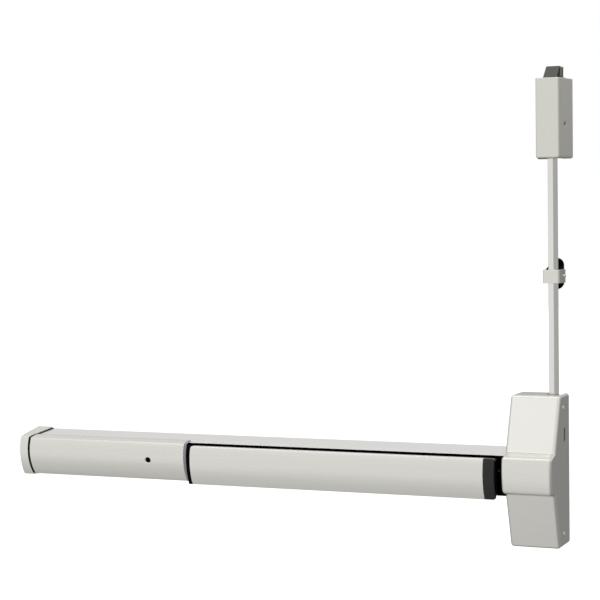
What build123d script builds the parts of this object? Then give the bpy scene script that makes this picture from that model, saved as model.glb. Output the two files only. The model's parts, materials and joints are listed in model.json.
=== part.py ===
from build123d import *
import os
from math import cos, radians, sin

# Vertical rod exit device for a single door, right end at the lock edge.
# X runs along the push rail, Y into the door, Z up. The origin is on the door face,
# at the middle of the case's screw pattern and on the rail's centre line.
# A depth is a distance out from the door face, so Y is minus the depth.

# Fits between pieces
seat_gap = 0.2
running_gap = 0.06
slide_gap = 0.5
clear_gap = 1.0
link_slack = 0.3

# What the push does: the bar goes in by 16, the drawbar to the left by 11.8, the rod down by 16.
# The rockers and the bell crank swing by their half angle to each side of their middle place.
rocker_half_angle = 15.5
crank_half_angle = 16.0

# Main sizes, which the others follow
rail_left = -753.0
rail_depth = 40.0
rail_half_height = 31.5
case_width = 66.0
case_top = 105.0
case_bottom = -93.0
rod_top = 438.0

# Push rail
rail_lap = 11.0
rail_right = -case_width / 2 + rail_lap
rail_mouth_lean = 3.0
rail_wall = 1.8
rail_top_slope = 0.18
rail_bottom_slope = 0.05
rail_groove_width = 0.9
rail_groove_sink = 0.7
end_slant = 0.24

# Rail cover at the hinge side
cover_length = 243.0
cover_right = rail_left + cover_length
cover_sheet = 1.2
cover_lap = 7.0
cover_reach = 7.0
cover_lip = 1.0
cover_step_depth = rail_depth - cover_lap
cover_front_depth = rail_depth + cover_reach
cover_bottom_depth = rail_depth - cover_lip
cover_bulge = 2.5
cover_top = 23.0
bezel_length = 4.0

# End cap
cap_length = 26.0
cap_proud = 1.2
cap_wall = 2.5
gasket_thickness = 2.0
gasket_gap = 0.3

# Touch bar
bar_cover_gap = 18.5
bar_left = cover_right + bar_cover_gap
bar_case_gap = 32.5
bar_right = -case_width / 2 - bar_case_gap
bar_sheet = 1.5
bar_top = 22.7
bar_bottom = -31.7
bar_reach = 24.0
bar_lip = 7.0
bar_lean = 5.5
bar_skirt = 10.5
bar_front_depth = rail_depth + bar_reach
bar_lip_depth = bar_front_depth - bar_lip
bar_bottom_depth = bar_front_depth - bar_lean
bar_skirt_depth = bar_bottom_depth - bar_skirt
bar_bulge = 2.8
bar_corner_radius = 3.0
left_plug_length = 5.5
right_plug_length = 15.5
plug_corner_radius = 4.0

# Bar carrier
carrier_wall = 1.6
carrier_bottom = -27.0
carrier_dip = 10.0
carrier_inset = 10.0
carrier_step = 3.4
carrier_back_depth = rail_depth - carrier_dip
carrier_web_depth = bar_front_depth - carrier_inset

# Rockers and drawbar
rocker_inset_left = 61.5
rocker_inset_right = 84.5
rocker_xs = (bar_left + rocker_inset_left, bar_right - rocker_inset_right)
rocker_dip = 8.0
rocker_pivot_depth = rail_depth - rocker_dip
bar_arm = 30.0
rocker_boss_radius = 5.0
rocker_boss_half = 11.5
rocker_plate = 3.0
rocker_pin_radius = 3.0
link_pin_radius = 2.0
drawbar_thickness = 3.0
drawbar_back_depth = 5.0
drawbar_front_depth = 15.0
drawbar_setback = 12.0
dog_inset = 57.0
drawbar_beyond = 8.0
drawbar_left = cover_right - dog_inset - drawbar_beyond
drawbar_right = rail_right - drawbar_setback
draw_arm = rocker_pivot_depth - (drawbar_back_depth + drawbar_front_depth) / 2
bracket_sheet = 2.0
bracket_half_length = 9.0

# Return spring
spring_inset = 130.0
spring_x = rocker_xs[0] + spring_inset
spring_length = 38.0
spring_radius = 4.0
spring_wire_radius = 0.8
spring_turns = 5
spring_wire_sides = 4

# Dogging screw, turned by a hexagon key through the rail cover
dog_x = cover_right - dog_inset
dog_z = -2.6
dog_hole_radius = 2.9
dog_sink_radius = 4.6
dog_sink_depth = 0.6
dog_head_radius = 6.0
dog_key_flats = 4.0
dog_shaft_radius = 2.4
dog_neck_radius = 4.0
dog_finger_length = 12.0
dog_finger_width = 5.0
dog_finger_thickness = 4.0
dog_bridge_dip = 6.0
dog_bridge_depth = rail_depth - dog_bridge_dip
dog_bridge_sheet = 3.0

# Case
case_wall = 2.4
case_top_depth = 44.5
shoulder_depth = 73.0
shoulder_z = 34.0
nose_depth = 92.0
nose_bulge = 2.0
nose_top = 29.0
nose_bottom = -18.0
nose_bottom_depth = 90.0
chin_depth = 74.0
chin_z = -20.5
case_bottom_depth = 50.0
case_edge_radius = 4.2
case_corner_radius = 5.0
shoulder_radius = 3.5
nose_top_radius = 4.0
nose_bottom_radius = 7.0
chin_radius = 2.5
base_thickness = 2.5
base_margin = 3.5
base_top_gap = 15.0
case_screw_inset_x = 13.0
case_screw_inset_z = 29.0
case_screw_span_x = case_width - 2 * case_screw_inset_x
case_screw_span_z = case_top - case_bottom - 2 * case_screw_inset_z
case_screw_radius = 2.7
side_slot_depth = 24.0
side_slot_z = 53.0
side_slot_width = 8.0
side_slot_height = 20.0
side_slot_sink = 1.1
cover_screw_depth = 29.0
cover_screw_from_top = 17.0
cover_screw_from_bottom = 16.0

# Bell crank in the case
crank_arm_inset = 4.0
crank_lift_arm = case_width / 2 - crank_arm_inset
crank_draw_arm = 21.3
crank_pivot_z = 21.0
crank_back_depth = 14.0
crank_thickness = 4.0
crank_pivot_radius = 4.0
crank_boss_radius = 8.0
crank_arm_half = 6.0
crank_pin_radius = 3.0
yoke_pin_radius = 2.5

# Rod, half inch hexagon
rod_inset = 14.5
rod_x = case_width / 2 - rod_inset
rod_depth = 20.0
rod_flats = 12.7
rod_corner_radius = 0.8
rod_turn = 45.0
rod_below_top = 17.0
rod_bottom = case_top - rod_below_top
notch_radius = 10.5
stud_radius = 4.0
stud_engagement = 18.0
nut_flats = 13.0
nut_height = 6.5
lift_tongue_length = 18.0
lift_block_height = 20.0
lift_block_bottom = crank_pivot_z + clear_gap
lift_block_shoulder = lift_block_bottom + lift_tongue_length
lift_block_top = lift_block_shoulder + lift_block_height
lift_block_width = 16.0
tongue_thickness = 5.0

# Rod guide
guide_z = 259.0
guide_height = 17.5
guide_width = 22.2
guide_depth = 31.4
guide_sheet = 1.6
guide_bend = 3.0
guide_screw_head = 3.0
guide_screw_opening = 3.9
guide_base_height = 41.0
guide_base_lift = 3.0
guide_base_thickness = 5.0
guide_hole_inset = 4.5
guide_hole_span = guide_base_height - 2 * guide_hole_inset
guide_hole_radius = 1.9
guide_shoulder_rise = 6.5
guide_screw_depth = 7.0
rod_clearance = 0.3

# Top latch
latch_lap = 26.0
latch_height = 103.5
latch_bottom = rod_top - latch_lap
latch_top = latch_bottom + latch_height
latch_back_width = 48.0
latch_front_width = 30.4
latch_depth = 38.0
latch_wall = 2.0
latch_offset = -2.0
latch_plate_inset = 6.0
latch_plate_bottom = latch_bottom + latch_plate_inset
latch_plate_top = latch_top - latch_plate_inset
latch_screw_span_x = 32.0
latch_screw_span_z = 70.0
latch_screw_radius = 2.4
bolt_width = 18.0
bolt_offset = 0.5
bolt_back_depth = 6.0
bolt_front_depth = 30.0
bolt_above_rod = 40.0
bolt_proud = 16.5
slope_proud = 0.5
bolt_bottom = rod_top + bolt_above_rod
bolt_top = latch_top + bolt_proud
bolt_slope_start = latch_top + slope_proud
bolt_top_depth = 12.5
shelf_above_rod = 4.0
shelf_z = rod_top + shelf_above_rod
shelf_thickness = 4.0
latch_cheek = 2.0
latch_screw_depth = 21.0
latch_screw_height = 44.0
latch_cover_screw_z = latch_bottom + latch_screw_height
latch_screw_recess = 1.2
latch_screw_sink = 3.4
latch_lug_half = 4.0
trip_thickness = 2.8
trip_gap = 0.5
trip_pivot_depth = 12.0
trip_pivot_drop = 4.0
trip_pivot_z = bolt_bottom - trip_pivot_drop
trip_top = bolt_top - 1.5

parts = {}


# Helpers: each one places its solid by its edges, with depths counted from the door face
def block(x0, x1, d0, d1, z0, z1):
    middle = Pos((x0 + x1) / 2, -(d0 + d1) / 2, (z0 + z1) / 2)
    return middle * Box(abs(x1 - x0), abs(d1 - d0), abs(z1 - z0))


def round_x(d, z, x0, x1, radius):
    return Pos((x0 + x1) / 2, -d, z) * Rot(0, 90, 0) * Cylinder(radius, abs(x1 - x0))


def round_y(x, z, d0, d1, radius):
    return Pos(x, -(d0 + d1) / 2, z) * Rot(90, 0, 0) * Cylinder(radius, abs(d1 - d0))


def round_z(x, d, z0, z1, radius):
    return Pos(x, -d, (z0 + z1) / 2) * Cylinder(radius, abs(z1 - z0))


def hexagon_z(x, d, z0, z1, flats, turn=0.0):
    corner = flats / 2 / cos(radians(30))
    face = Plane(origin=(x, -d, z0)) * Rot(0, 0, turn) * RegularPolygon(corner, 6)
    return extrude(face, amount=z1 - z0)


def hexagon_y(x, z, d0, d1, flats):
    corner = flats / 2 / cos(radians(30))
    face = Plane(origin=(x, -d0, z), z_dir=(0, -1, 0)) * RegularPolygon(corner, 6)
    return extrude(face, amount=d1 - d0)


def polygon(points):
    return Face(Wire.make_polygon([Vector(*p) for p in points], close=True))


def plate_x(outline, x0, x1):
    face = polygon([(x0, -d, z) for d, z in outline])
    return extrude(face, amount=x1 - x0, dir=(1, 0, 0))


def plate_y(outline, d0, d1):
    face = polygon([(x, -d0, z) for x, z in outline])
    return extrude(face, amount=d1 - d0, dir=(0, -1, 0))


def plate_z(outline, z0, z1):
    face = polygon([(x, -d, z0) for x, d in outline])
    return extrude(face, amount=z1 - z0, dir=(0, 0, 1))


def tapered_arm(root, tip, root_half, tip_half):
    """The four corners of a lever arm that narrows from its hub to its tip."""
    length = ((tip[0] - root[0]) ** 2 + (tip[1] - root[1]) ** 2) ** 0.5
    side_x = (root[1] - tip[1]) / length
    side_y = (tip[0] - root[0]) / length
    return [
        (root[0] + side_x * root_half, root[1] + side_y * root_half),
        (tip[0] + side_x * tip_half, tip[1] + side_y * tip_half),
        (tip[0] - side_x * tip_half, tip[1] - side_y * tip_half),
        (root[0] - side_x * root_half, root[1] - side_y * root_half),
    ]


def slot_y(x, z, length_x, length_z, d0, d1):
    """A slot with round ends, cut along the depth."""
    radius = min(length_x, length_z) / 2
    half_x = length_x / 2 - radius
    half_z = length_z / 2 - radius
    ends = round_y(x - half_x, z - half_z, d0, d1, radius) + round_y(x + half_x, z + half_z, d0, d1, radius)
    if half_x > 0:
        return ends + block(x - half_x, x + half_x, d0, d1, z - radius, z + radius)
    if half_z > 0:
        return ends + block(x - radius, x + radius, d0, d1, z - half_z, z + half_z)
    return ends


def dome_screw(x, d, z, direction, shank_radius, shank_length, head_radius, head_height):
    """A low screw head with a sloped rim on a plain shank, pointing out along X."""
    profile = [
        (-shank_length, 0),
        (-shank_length, shank_radius),
        (0, shank_radius),
        (0, head_radius),
        (head_height, 0.55 * head_radius),
        (head_height, 0),
    ]
    face = polygon([(x + direction * out, -d, z + radius) for out, radius in profile])
    return revolve(face, Axis((x, -d, z), (1, 0, 0)), 360)


# Section of the push rail
def rail_top(depth):
    return rail_half_height - rail_top_slope * depth


def rail_bottom(depth):
    return -rail_half_height + rail_bottom_slope * depth


def curved_section(x0, x1, top_line, bulge, bottom_front, bottom_back):
    """A solid along the rail whose front is one arc between its top and bottom front edges."""
    top_front = top_line[-1]
    middle = ((top_front[0] + bottom_front[0]) / 2 + bulge, (top_front[1] + bottom_front[1]) / 2)

    def at(point):
        return Vector(x0, -point[0], point[1])

    edges = [Line(at(a), at(b)) for a, b in zip(top_line, top_line[1:])]
    edges.append(ThreePointArc(at(top_front), at(middle), at(bottom_front)))
    edges.append(Line(at(bottom_front), at(bottom_back)))
    edges.append(Line(at(bottom_back), at(top_line[0])))
    return extrude(Face(Wire(edges)), amount=x1 - x0, dir=(1, 0, 0))


def cover_section(x0, x1, back, grow):
    """The rail cover's outline, grown outwards, from the given depth to the curved front."""
    rise = cover_sheet + grow
    top_line = [(back, rail_top(back) + rise)]
    if back < rail_depth:
        top_line.append((rail_depth, rail_top(rail_depth) + rise))
    top_line.append((cover_front_depth + grow, cover_top + grow))
    return curved_section(
        x0,
        x1,
        top_line,
        arc_bulge(cover_front_depth, cover_bottom_depth, cover_bulge),
        (cover_bottom_depth + grow, rail_bottom(cover_bottom_depth + grow) - rise),
        (back, rail_bottom(back) - rise),
    )


def arc_bulge(top_depth, bottom_depth, bulge):
    """How far the arc's middle stands out from the chord, so that its crown passes the top edge."""
    return bulge + (top_depth - bottom_depth) / 2


def bar_section(x0, x1, inset, top_back, bottom_back):
    """The touch bar's outline, shrunk by an inset, closed at the given depths above and below."""
    return curved_section(
        x0,
        x1,
        [(top_back, bar_top - inset), (bar_front_depth - inset, bar_top - inset)],
        arc_bulge(bar_front_depth, bar_bottom_depth, bar_bulge),
        (bar_bottom_depth - inset, bar_bottom + inset),
        (bottom_back, bar_bottom + inset),
    )


def slanted(offset0, offset1):
    """A slab cut on the slant of the rail's outer end, between two distances along the rail."""
    deep = 2 * rail_depth

    def edge(depth, offset):
        return rail_left - end_slant * depth + offset

    tall = 2 * rail_half_height
    outline = [
        (edge(-deep, offset0), -deep),
        (edge(deep, offset0), deep),
        (edge(deep, offset1), deep),
        (edge(-deep, offset1), -deep),
    ]
    return plate_z(outline, -tall, tall)


def soften(solid, keep, radius):
    return fillet([e for e in solid.edges() if keep(e)], radius)


def rounded_end(x0, x1, z0, z1, end_x, radius):
    """A deep block over the rail whose two corners at one end are rounded, as seen from the front."""
    deep = 2 * rail_depth
    solid = block(x0, x1, 0, deep, z0, z1)
    return soften(solid, lambda e: abs(e.length - deep) < 0.01 and abs(e.center().X - end_x) < 0.01, radius)


# Rail channel
def rail_shape(grow, depth):
    return [
        (0, rail_top(0) + grow),
        (depth, rail_top(depth) + grow),
        (depth - rail_mouth_lean, rail_bottom(depth - rail_mouth_lean) - grow),
        (0, rail_bottom(0) - grow),
    ]


rail_start = rail_left - end_slant * rail_depth - 5.0
channel = plate_x(rail_shape(0, rail_depth), rail_start, rail_right)
hollow = [
    (rail_wall, rail_top(rail_wall) - rail_wall),
    (rail_depth + 1, rail_top(rail_depth + 1) - rail_wall),
    (rail_depth + 1, rail_bottom(rail_depth + 1) + rail_wall),
    (rail_wall, rail_bottom(rail_wall) + rail_wall),
]
channel -= plate_x(hollow, rail_start - 1, rail_right + 1)
rail_end_cut = slanted(gasket_thickness + 2 * gasket_gap, 2 * (rail_right - rail_left))
groove_back = cover_step_depth - gasket_gap - rail_groove_width
groove = [
    (groove_back, rail_top(groove_back) + 1),
    (groove_back, rail_top(groove_back) - rail_groove_sink),
    (groove_back + rail_groove_width, rail_top(groove_back + rail_groove_width) - rail_groove_sink),
    (groove_back + rail_groove_width, rail_top(groove_back + rail_groove_width) + 1),
]
channel -= plate_x(groove, rail_start - 1, rail_right + 1)
channel &= rail_end_cut
parts["rail_channel"] = channel

# Rail cover, folded sheet over the channel, with its key hole
far_left = rail_left - end_slant * rail_depth - cap_length
cover = cover_section(far_left, cover_right, cover_step_depth, 0.0)
cover -= cover_section(far_left - 1, cover_right + 1, cover_step_depth - 1, -cover_sheet)
cover &= rail_end_cut
cover_front = cover_front_depth + cover_bulge
cover -= round_y(dog_x, dog_z, cover_step_depth, cover_front + 1, dog_hole_radius)
cover -= round_y(dog_x, dog_z, cover_front - dog_sink_depth, cover_front + 1, dog_sink_radius)
parts["rail_cover"] = cover

# Trim that edges the cover's end beside the touch bar
bezel_right = cover_right + bezel_length
bezel = cover_section(cover_right + seat_gap, bezel_right, cover_step_depth, 0.0)
bezel_inner = cover_section(cover_right, bezel_right + 1, cover_step_depth - 1, -cover_sheet)
parts["cover_end_bezel"] = bezel - bezel_inner

# End cap, cast, open towards the rail
cap_left = rail_left - cap_length
cap = cover_section(cap_left, rail_left, 0.0, cap_proud)
cap = soften(cap, lambda e: abs(e.center().X - cap_left) < 0.01, 2.2)
cap_inner = cover_section(cap_left + cap_wall, rail_left + 1, -1.0, cap_proud - cap_wall)
cap = (cap - cap_inner) & slanted(-3 * cap_length, 0.0)
cap_screw_z = 18.0
cap_screw_depth = 20.0
cap_screw_shank = 1.6
for side in (1, -1):
    cap -= round_x(cap_screw_depth, side * cap_screw_z, cap_left - 1, cap_left + cap_wall + 1, 2.2)
parts["end_cap"] = cap

# Black gasket seen as a dark line between the cap and the rail
gasket = cover_section(far_left, rail_left + 5, 0.0, -0.5)
gasket -= cover_section(far_left - 1, rail_left + 6, -1.0, -0.5 - 3 * cover_sheet)
parts["end_cap_gasket"] = gasket & slanted(gasket_gap, gasket_gap + gasket_thickness)

# End bracket on the door, inside the cap and under the end of the rail
bracket_left = cap_left + cap_wall + seat_gap
bracket_foot = 3.0
bracket_reach = 30.0
bracket_half_height = 24.0
bracket_right = rail_left - clear_gap
bracket_inner = bracket_left + bracket_foot
end_bracket = block(bracket_left, bracket_right, 0, bracket_foot, -bracket_half_height, bracket_half_height)
end_bracket += block(
    bracket_left, bracket_inner, 0, bracket_reach, -bracket_half_height, bracket_half_height - 4
)
tongue_z = 10.0
tongue_depth = rail_wall + seat_gap
tongue_length = 14.0
end_bracket += block(
    bracket_left, rail_left + tongue_length, tongue_depth, tongue_depth + bracket_foot, -tongue_z, tongue_z
)
end_screw_span = 34.0
end_screw_radius = 2.7
end_screw_x = (bracket_inner + rail_left) / 2
for side in (1, -1):
    end_bracket -= round_y(end_screw_x, side * end_screw_span / 2, -1, bracket_foot + 1, end_screw_radius)
    hole_z = side * cap_screw_z
    end_bracket -= round_x(cap_screw_depth, hole_z, bracket_left - 1, bracket_inner + 1, cap_screw_shank)
parts["end_bracket"] = end_bracket
cap_screws = []
for side in (1, -1):
    screw_z = side * cap_screw_z
    shank = cap_screw_shank - 0.1
    cap_screws.append(dome_screw(cap_left, cap_screw_depth, screw_z, -1, shank, 8.0, 3.6, 2.0))
parts["end_cap_screws"] = cap_screws

# Touch bar, one folded sheet with a crowned face, a top lip and a bottom skirt
behind_bar = carrier_back_depth
touch_bar = bar_section(bar_left, bar_right, 0.0, bar_lip_depth, bar_skirt_depth)
touch_bar -= bar_section(bar_left - 1, bar_right + 1, bar_sheet, behind_bar, behind_bar)
touch_bar -= block(bar_left - 1, bar_right + 1, behind_bar, bar_lip_depth, bar_bottom / 2, bar_top + 1)
groove_depth = bar_front_depth - 3.8
groove_width = 0.9
groove_floor = bar_top - bar_sheet * 0.45
touch_bar -= block(
    bar_left - 1, bar_right + 1, groove_depth, groove_depth + groove_width, groove_floor, bar_top + 1
)
touch_bar &= rounded_end(bar_left, bar_right, bar_bottom, bar_top, bar_left, bar_corner_radius)
parts["touch_bar"] = touch_bar

# Bar carrier, a black channel inside the touch bar that runs between the rail's walls
carrier_top = bar_top - bar_sheet
carrier_left = bar_left + left_plug_length
carrier_front = carrier_web_depth + carrier_wall
upper_front = bar_lip_depth + 4
flange_top = carrier_top - carrier_step
carrier = block(
    carrier_left, bar_right, carrier_web_depth, upper_front, carrier_top - carrier_wall, carrier_top
)
carrier += block(
    carrier_left, bar_right, carrier_back_depth, carrier_front, flange_top - carrier_wall, flange_top
)
carrier += block(
    carrier_left, bar_right, carrier_back_depth, carrier_front, carrier_bottom, carrier_bottom + carrier_wall
)
carrier += block(carrier_left, bar_right, carrier_web_depth, carrier_front, carrier_bottom, carrier_top)
lug_z = 7.6
lug_thickness = 2.4
rocker_rise = bar_arm * sin(radians(rocker_half_angle))
bar_pin_depth = rocker_pivot_depth + rocker_rise
bar_pin_reach = bar_arm * cos(radians(rocker_half_angle))
lug_outer_z = lug_z + lug_thickness
lug_half = 6.0
lug_back = bar_pin_depth - 4.5
for x in rocker_xs:
    pin_x = x + bar_pin_reach
    for side in (1, -1):
        carrier += block(
            pin_x - lug_half, pin_x + lug_half, lug_back, carrier_web_depth, side * lug_z, side * lug_outer_z
        )
    carrier -= round_z(pin_x, bar_pin_depth, -2 * lug_z, 2 * lug_z, link_pin_radius + running_gap)
parts["bar_carrier"] = carrier
bar_pins = []
for x in rocker_xs:
    bar_pins.append(round_z(x + bar_pin_reach, bar_pin_depth, -lug_outer_z, lug_outer_z, link_pin_radius))
parts["bar_pins"] = bar_pins

# Black plugs at the two ends of the touch bar
left_plug = bar_section(bar_left - left_plug_length, bar_left - seat_gap, 0.0, bar_lip_depth, bar_lip_depth)
left_plug += block(
    bar_left - seat_gap,
    carrier_left - seat_gap,
    carrier_web_depth,
    bar_lip_depth + 3,
    bar_bottom / 2,
    carrier_top - 1,
)
parts["bar_left_plug"] = left_plug
plug_end = bar_right + right_plug_length
right_plug_back = rail_depth + 4.0
right_plug = bar_section(bar_right + seat_gap, plug_end, 0.0, bar_lip_depth, bar_lip_depth)
right_plug += block(
    bar_right + seat_gap,
    plug_end - 2,
    right_plug_back,
    bar_lip_depth,
    carrier_bottom,
    carrier_top - 1,
)
right_plug = chamfer([right_plug.faces().sort_by(Axis.X)[-1].edges().sort_by(Axis.Y)[0]], 1.0)
right_plug &= rounded_end(bar_right, plug_end, bar_bottom, bar_top, plug_end, plug_corner_radius)
parts["bar_right_plug"] = right_plug

# Rocker brackets with their pivot pins
bracket_z = rocker_boss_half + slide_gap
bracket_outer_z = bracket_z + bracket_sheet
bracket_front = rocker_pivot_depth + rocker_boss_radius
for name, x in zip(("left", "right"), rocker_xs):
    x0 = x - bracket_half_length
    x1 = x + bracket_half_length
    bracket = block(x0, x1, rail_wall, rail_wall + bracket_sheet, -bracket_outer_z, bracket_outer_z)
    for side in (1, -1):
        bracket += block(x0, x1, rail_wall, bracket_front, side * bracket_z, side * bracket_outer_z)
    bracket -= round_z(x, rocker_pivot_depth, -2 * bracket_z, 2 * bracket_z, rocker_pin_radius)
    parts[f"rocker_bracket_{name}"] = bracket
rocker_pins = []
for x in rocker_xs:
    rocker_pins.append(round_z(x, rocker_pivot_depth, -bracket_outer_z, bracket_outer_z, rocker_pin_radius))
parts["rocker_pivot_pins"] = rocker_pins

# Rockers: one arm is moved by the bar's pin, the forked arm draws the drawbar
fork_inner = drawbar_thickness / 2 + slide_gap
fork_outer = fork_inner + rocker_plate
swing = radians(rocker_half_angle)
draw_eye_radius = 3.8
bar_eye_radius = 4.2
through_z = 2 * rocker_boss_half
for name, x in zip(("left", "right"), rocker_xs):
    pivot = (x, rocker_pivot_depth)
    draw_tip = (x + draw_arm * sin(swing), rocker_pivot_depth - draw_arm * cos(swing))
    bar_tip = (x + bar_pin_reach, bar_pin_depth)
    rocker = round_z(*pivot, -rocker_boss_half, rocker_boss_half, rocker_boss_radius)
    for z in (fork_inner, -fork_outer):
        for tip, end_radius in ((draw_tip, draw_eye_radius), (bar_tip, bar_eye_radius)):
            outline = tapered_arm(pivot, tip, rocker_boss_radius - 0.4, end_radius)
            rocker += plate_z(outline, z, z + rocker_plate)
            rocker += round_z(*tip, z, z + rocker_plate, end_radius)
    rocker -= round_z(*pivot, -through_z, through_z, rocker_pin_radius + running_gap)
    rocker -= round_z(*draw_tip, -through_z, through_z, link_pin_radius)
    slot_radius = link_pin_radius + link_slack
    slot_ends = []
    for reach in (bar_pin_reach - link_slack, bar_arm + link_slack):
        slot_ends.append((x + reach * cos(swing), rocker_pivot_depth + reach * sin(swing)))
    for slot_end in slot_ends:
        rocker -= round_z(*slot_end, -through_z, through_z, slot_radius)
    rocker -= plate_z(tapered_arm(*slot_ends, slot_radius, slot_radius), -through_z, through_z)
    parts[f"rocker_{name}"] = rocker
    parts[f"rocker_link_pin_{name}"] = round_z(*draw_tip, -fork_outer, fork_outer, link_pin_radius)

# Drawbar, a flat strip between the forks
draw_swing = draw_arm * sin(swing)
drawbar_half = drawbar_thickness / 2
drawbar = block(
    drawbar_left, drawbar_right, drawbar_back_depth, drawbar_front_depth, -drawbar_half, drawbar_half
)
for x in rocker_xs:
    tip_x = x + draw_swing
    near = rocker_pivot_depth - draw_arm * cos(swing)
    far = rocker_pivot_depth - draw_arm
    for depth in (near, far):
        drawbar -= round_z(tip_x, depth, -drawbar_thickness, drawbar_thickness, slot_radius)
    drawbar -= block(
        tip_x - slot_radius, tip_x + slot_radius, near, far, -drawbar_thickness, drawbar_thickness
    )
parts["drawbar"] = drawbar
drawbar_travel = 2 * draw_swing

# Yoke on the drawbar's end, inside the case, with the pin that turns the bell crank
crank_swing = radians(crank_half_angle)
crank_x = rod_x - crank_lift_arm * (1 + cos(crank_swing)) / 2
yoke_pin_x = crank_x + crank_draw_arm * sin(crank_swing)
yoke_pin_z = crank_pivot_z - crank_draw_arm * (1 + cos(crank_swing)) / 2
yoke_sheet = 3.0
yoke_back = 8.0
yoke_top = drawbar_half + yoke_sheet
yoke_step_x = drawbar_right + 3
yoke_end = yoke_pin_x + 6
rivet_depth = 10.0
rivet_radius = 1.5
rivet_xs = (drawbar_right - 17, drawbar_right - 7)
yoke_lap = 22.0
yoke_left = drawbar_right - yoke_lap
yoke = block(
    yoke_left, yoke_step_x + yoke_sheet, drawbar_back_depth, drawbar_front_depth, drawbar_half, yoke_top
)
yoke += block(yoke_step_x, yoke_end, yoke_back, yoke_back + yoke_sheet, yoke_pin_z - 6, yoke_top)
yoke -= round_y(yoke_pin_x, yoke_pin_z, 0, 2 * drawbar_front_depth, yoke_pin_radius)
yoke_rivets = []
for x in rivet_xs:
    yoke -= round_z(x, rivet_depth, drawbar_half, yoke_top, rivet_radius)
    yoke_rivets.append(round_z(x, rivet_depth, drawbar_half, yoke_top + 0.8, rivet_radius))
parts["drawbar_yoke"] = yoke
parts["yoke_rivets"] = yoke_rivets
yoke_pin_front = crank_back_depth + crank_thickness + clear_gap
parts["yoke_pin"] = round_y(yoke_pin_x, yoke_pin_z, yoke_back, yoke_pin_front, yoke_pin_radius)

# Return spring between a stop on the rail and a tab on the drawbar
spring_z = drawbar_half + 6.5
spring_depth = 10.0
tab_sheet = 2.0
tab_top = spring_z + 5
tab = block(spring_x, spring_x + tab_sheet, drawbar_back_depth, drawbar_front_depth, drawbar_half, tab_top)
tab += block(
    spring_x, spring_x + 12, drawbar_back_depth, drawbar_front_depth, drawbar_half, drawbar_half + tab_sheet
)
parts["spring_tab"] = tab
stop_x = spring_x - spring_length
stop_bottom = drawbar_half + clear_gap
stop = block(stop_x - tab_sheet, stop_x, rail_wall, drawbar_front_depth, stop_bottom, tab_top)
stop += block(stop_x - 14, stop_x, rail_wall, rail_wall + tab_sheet, stop_bottom, tab_top)
parts["spring_stop"] = stop


def helix_spring(length, radius, wire_radius, turns, place):
    """A wound wire spring along Z from its base, then placed."""
    free = length - 2 * wire_radius
    path = Helix(pitch=free / turns, height=free, radius=radius)
    start = Plane(origin=path @ 0, z_dir=path % 0)
    wire = sweep(start * RegularPolygon(wire_radius, spring_wire_sides), path=path)
    return place * Pos(0, 0, wire_radius) * wire


spring_place = Pos(stop_x + seat_gap / 2, -spring_depth, spring_z) * Rot(0, 90, 0)
parts["return_spring"] = helix_spring(
    spring_length - seat_gap, spring_radius, spring_wire_radius, spring_turns, spring_place
)

# Dogging: the screw's finger turns up in front of the catch and holds the drawbar back
catch_width = 5.0
catch_thickness = 4.6
finger_half = dog_finger_width / 2
catch_bottom = dog_z + finger_half + slide_gap
catch_top = catch_bottom + catch_thickness
catch_x = dog_x + drawbar_travel - finger_half - seat_gap - catch_width / 2
catch_left = catch_x - catch_width / 2
catch_right = catch_x + catch_width / 2
finger_back = drawbar_front_depth + clear_gap
finger_front = finger_back + dog_finger_thickness
catch = block(catch_left, catch_right, drawbar_front_depth, finger_front, catch_bottom, catch_top)
catch += block(catch_left, catch_right, drawbar_back_depth, drawbar_front_depth, drawbar_half, catch_top)
parts["dogging_catch"] = catch
bridge_front = dog_bridge_depth + dog_bridge_sheet
neck_back = dog_bridge_depth - slide_gap
head_back = bridge_front + seat_gap
head_front = cover_front_depth + cover_bulge - cover_sheet - clear_gap
collar = 2.0
key_depth = 6.0
dog = round_y(dog_x, dog_z, finger_back, neck_back, dog_shaft_radius)
dog += round_y(dog_x, dog_z, neck_back - collar, neck_back, dog_neck_radius + 1.2)
dog += round_y(dog_x, dog_z, neck_back, head_back, dog_neck_radius)
dog += round_y(dog_x, dog_z, head_back, head_front, dog_head_radius)
dog += block(
    dog_x - dog_finger_length, dog_x, finger_back, finger_front, dog_z - finger_half, dog_z + finger_half
)
dog -= hexagon_y(dog_x, dog_z, head_front - key_depth, head_front + 1, dog_key_flats)
parts["dogging_screw"] = dog
bridge_half = 12.0
leg_bottom = rail_bottom(dog_bridge_depth) + rail_wall + 2 * clear_gap
leg_top = rail_top(dog_bridge_depth) - rail_wall - 2 * clear_gap
bridge_left = dog_x - bridge_half
bridge_right = dog_x + bridge_half
dog_bracket = block(bridge_left, bridge_right, dog_bridge_depth, bridge_front, leg_bottom, leg_top)
for z in (leg_bottom, leg_top - dog_bridge_sheet):
    dog_bracket += block(bridge_left, bridge_right, rail_wall, bridge_front, z, z + dog_bridge_sheet)
dog_bracket -= round_y(
    dog_x, dog_z, dog_bridge_depth - 1, bridge_front + 1, dog_neck_radius + running_gap
)
parts["dogging_bracket"] = dog_bracket

# Black filler pressed into the rail between the touch bar's end and the case
filler_left = plug_end + clear_gap
filler_lap = 4.0
filler_back = rail_depth - filler_lap
filler_front = rail_depth + 3
filler = plate_x(
    [
        (filler_back, rail_top(filler_back) - rail_wall),
        (filler_front, rail_top(filler_front) - rail_wall),
        (filler_front - rail_mouth_lean, rail_bottom(filler_front - rail_mouth_lean) + rail_wall),
        (filler_back, rail_bottom(filler_back) + rail_wall),
    ],
    filler_left,
    -case_width / 2 + case_wall + 4,
)
parts["rail_filler"] = filler

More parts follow.
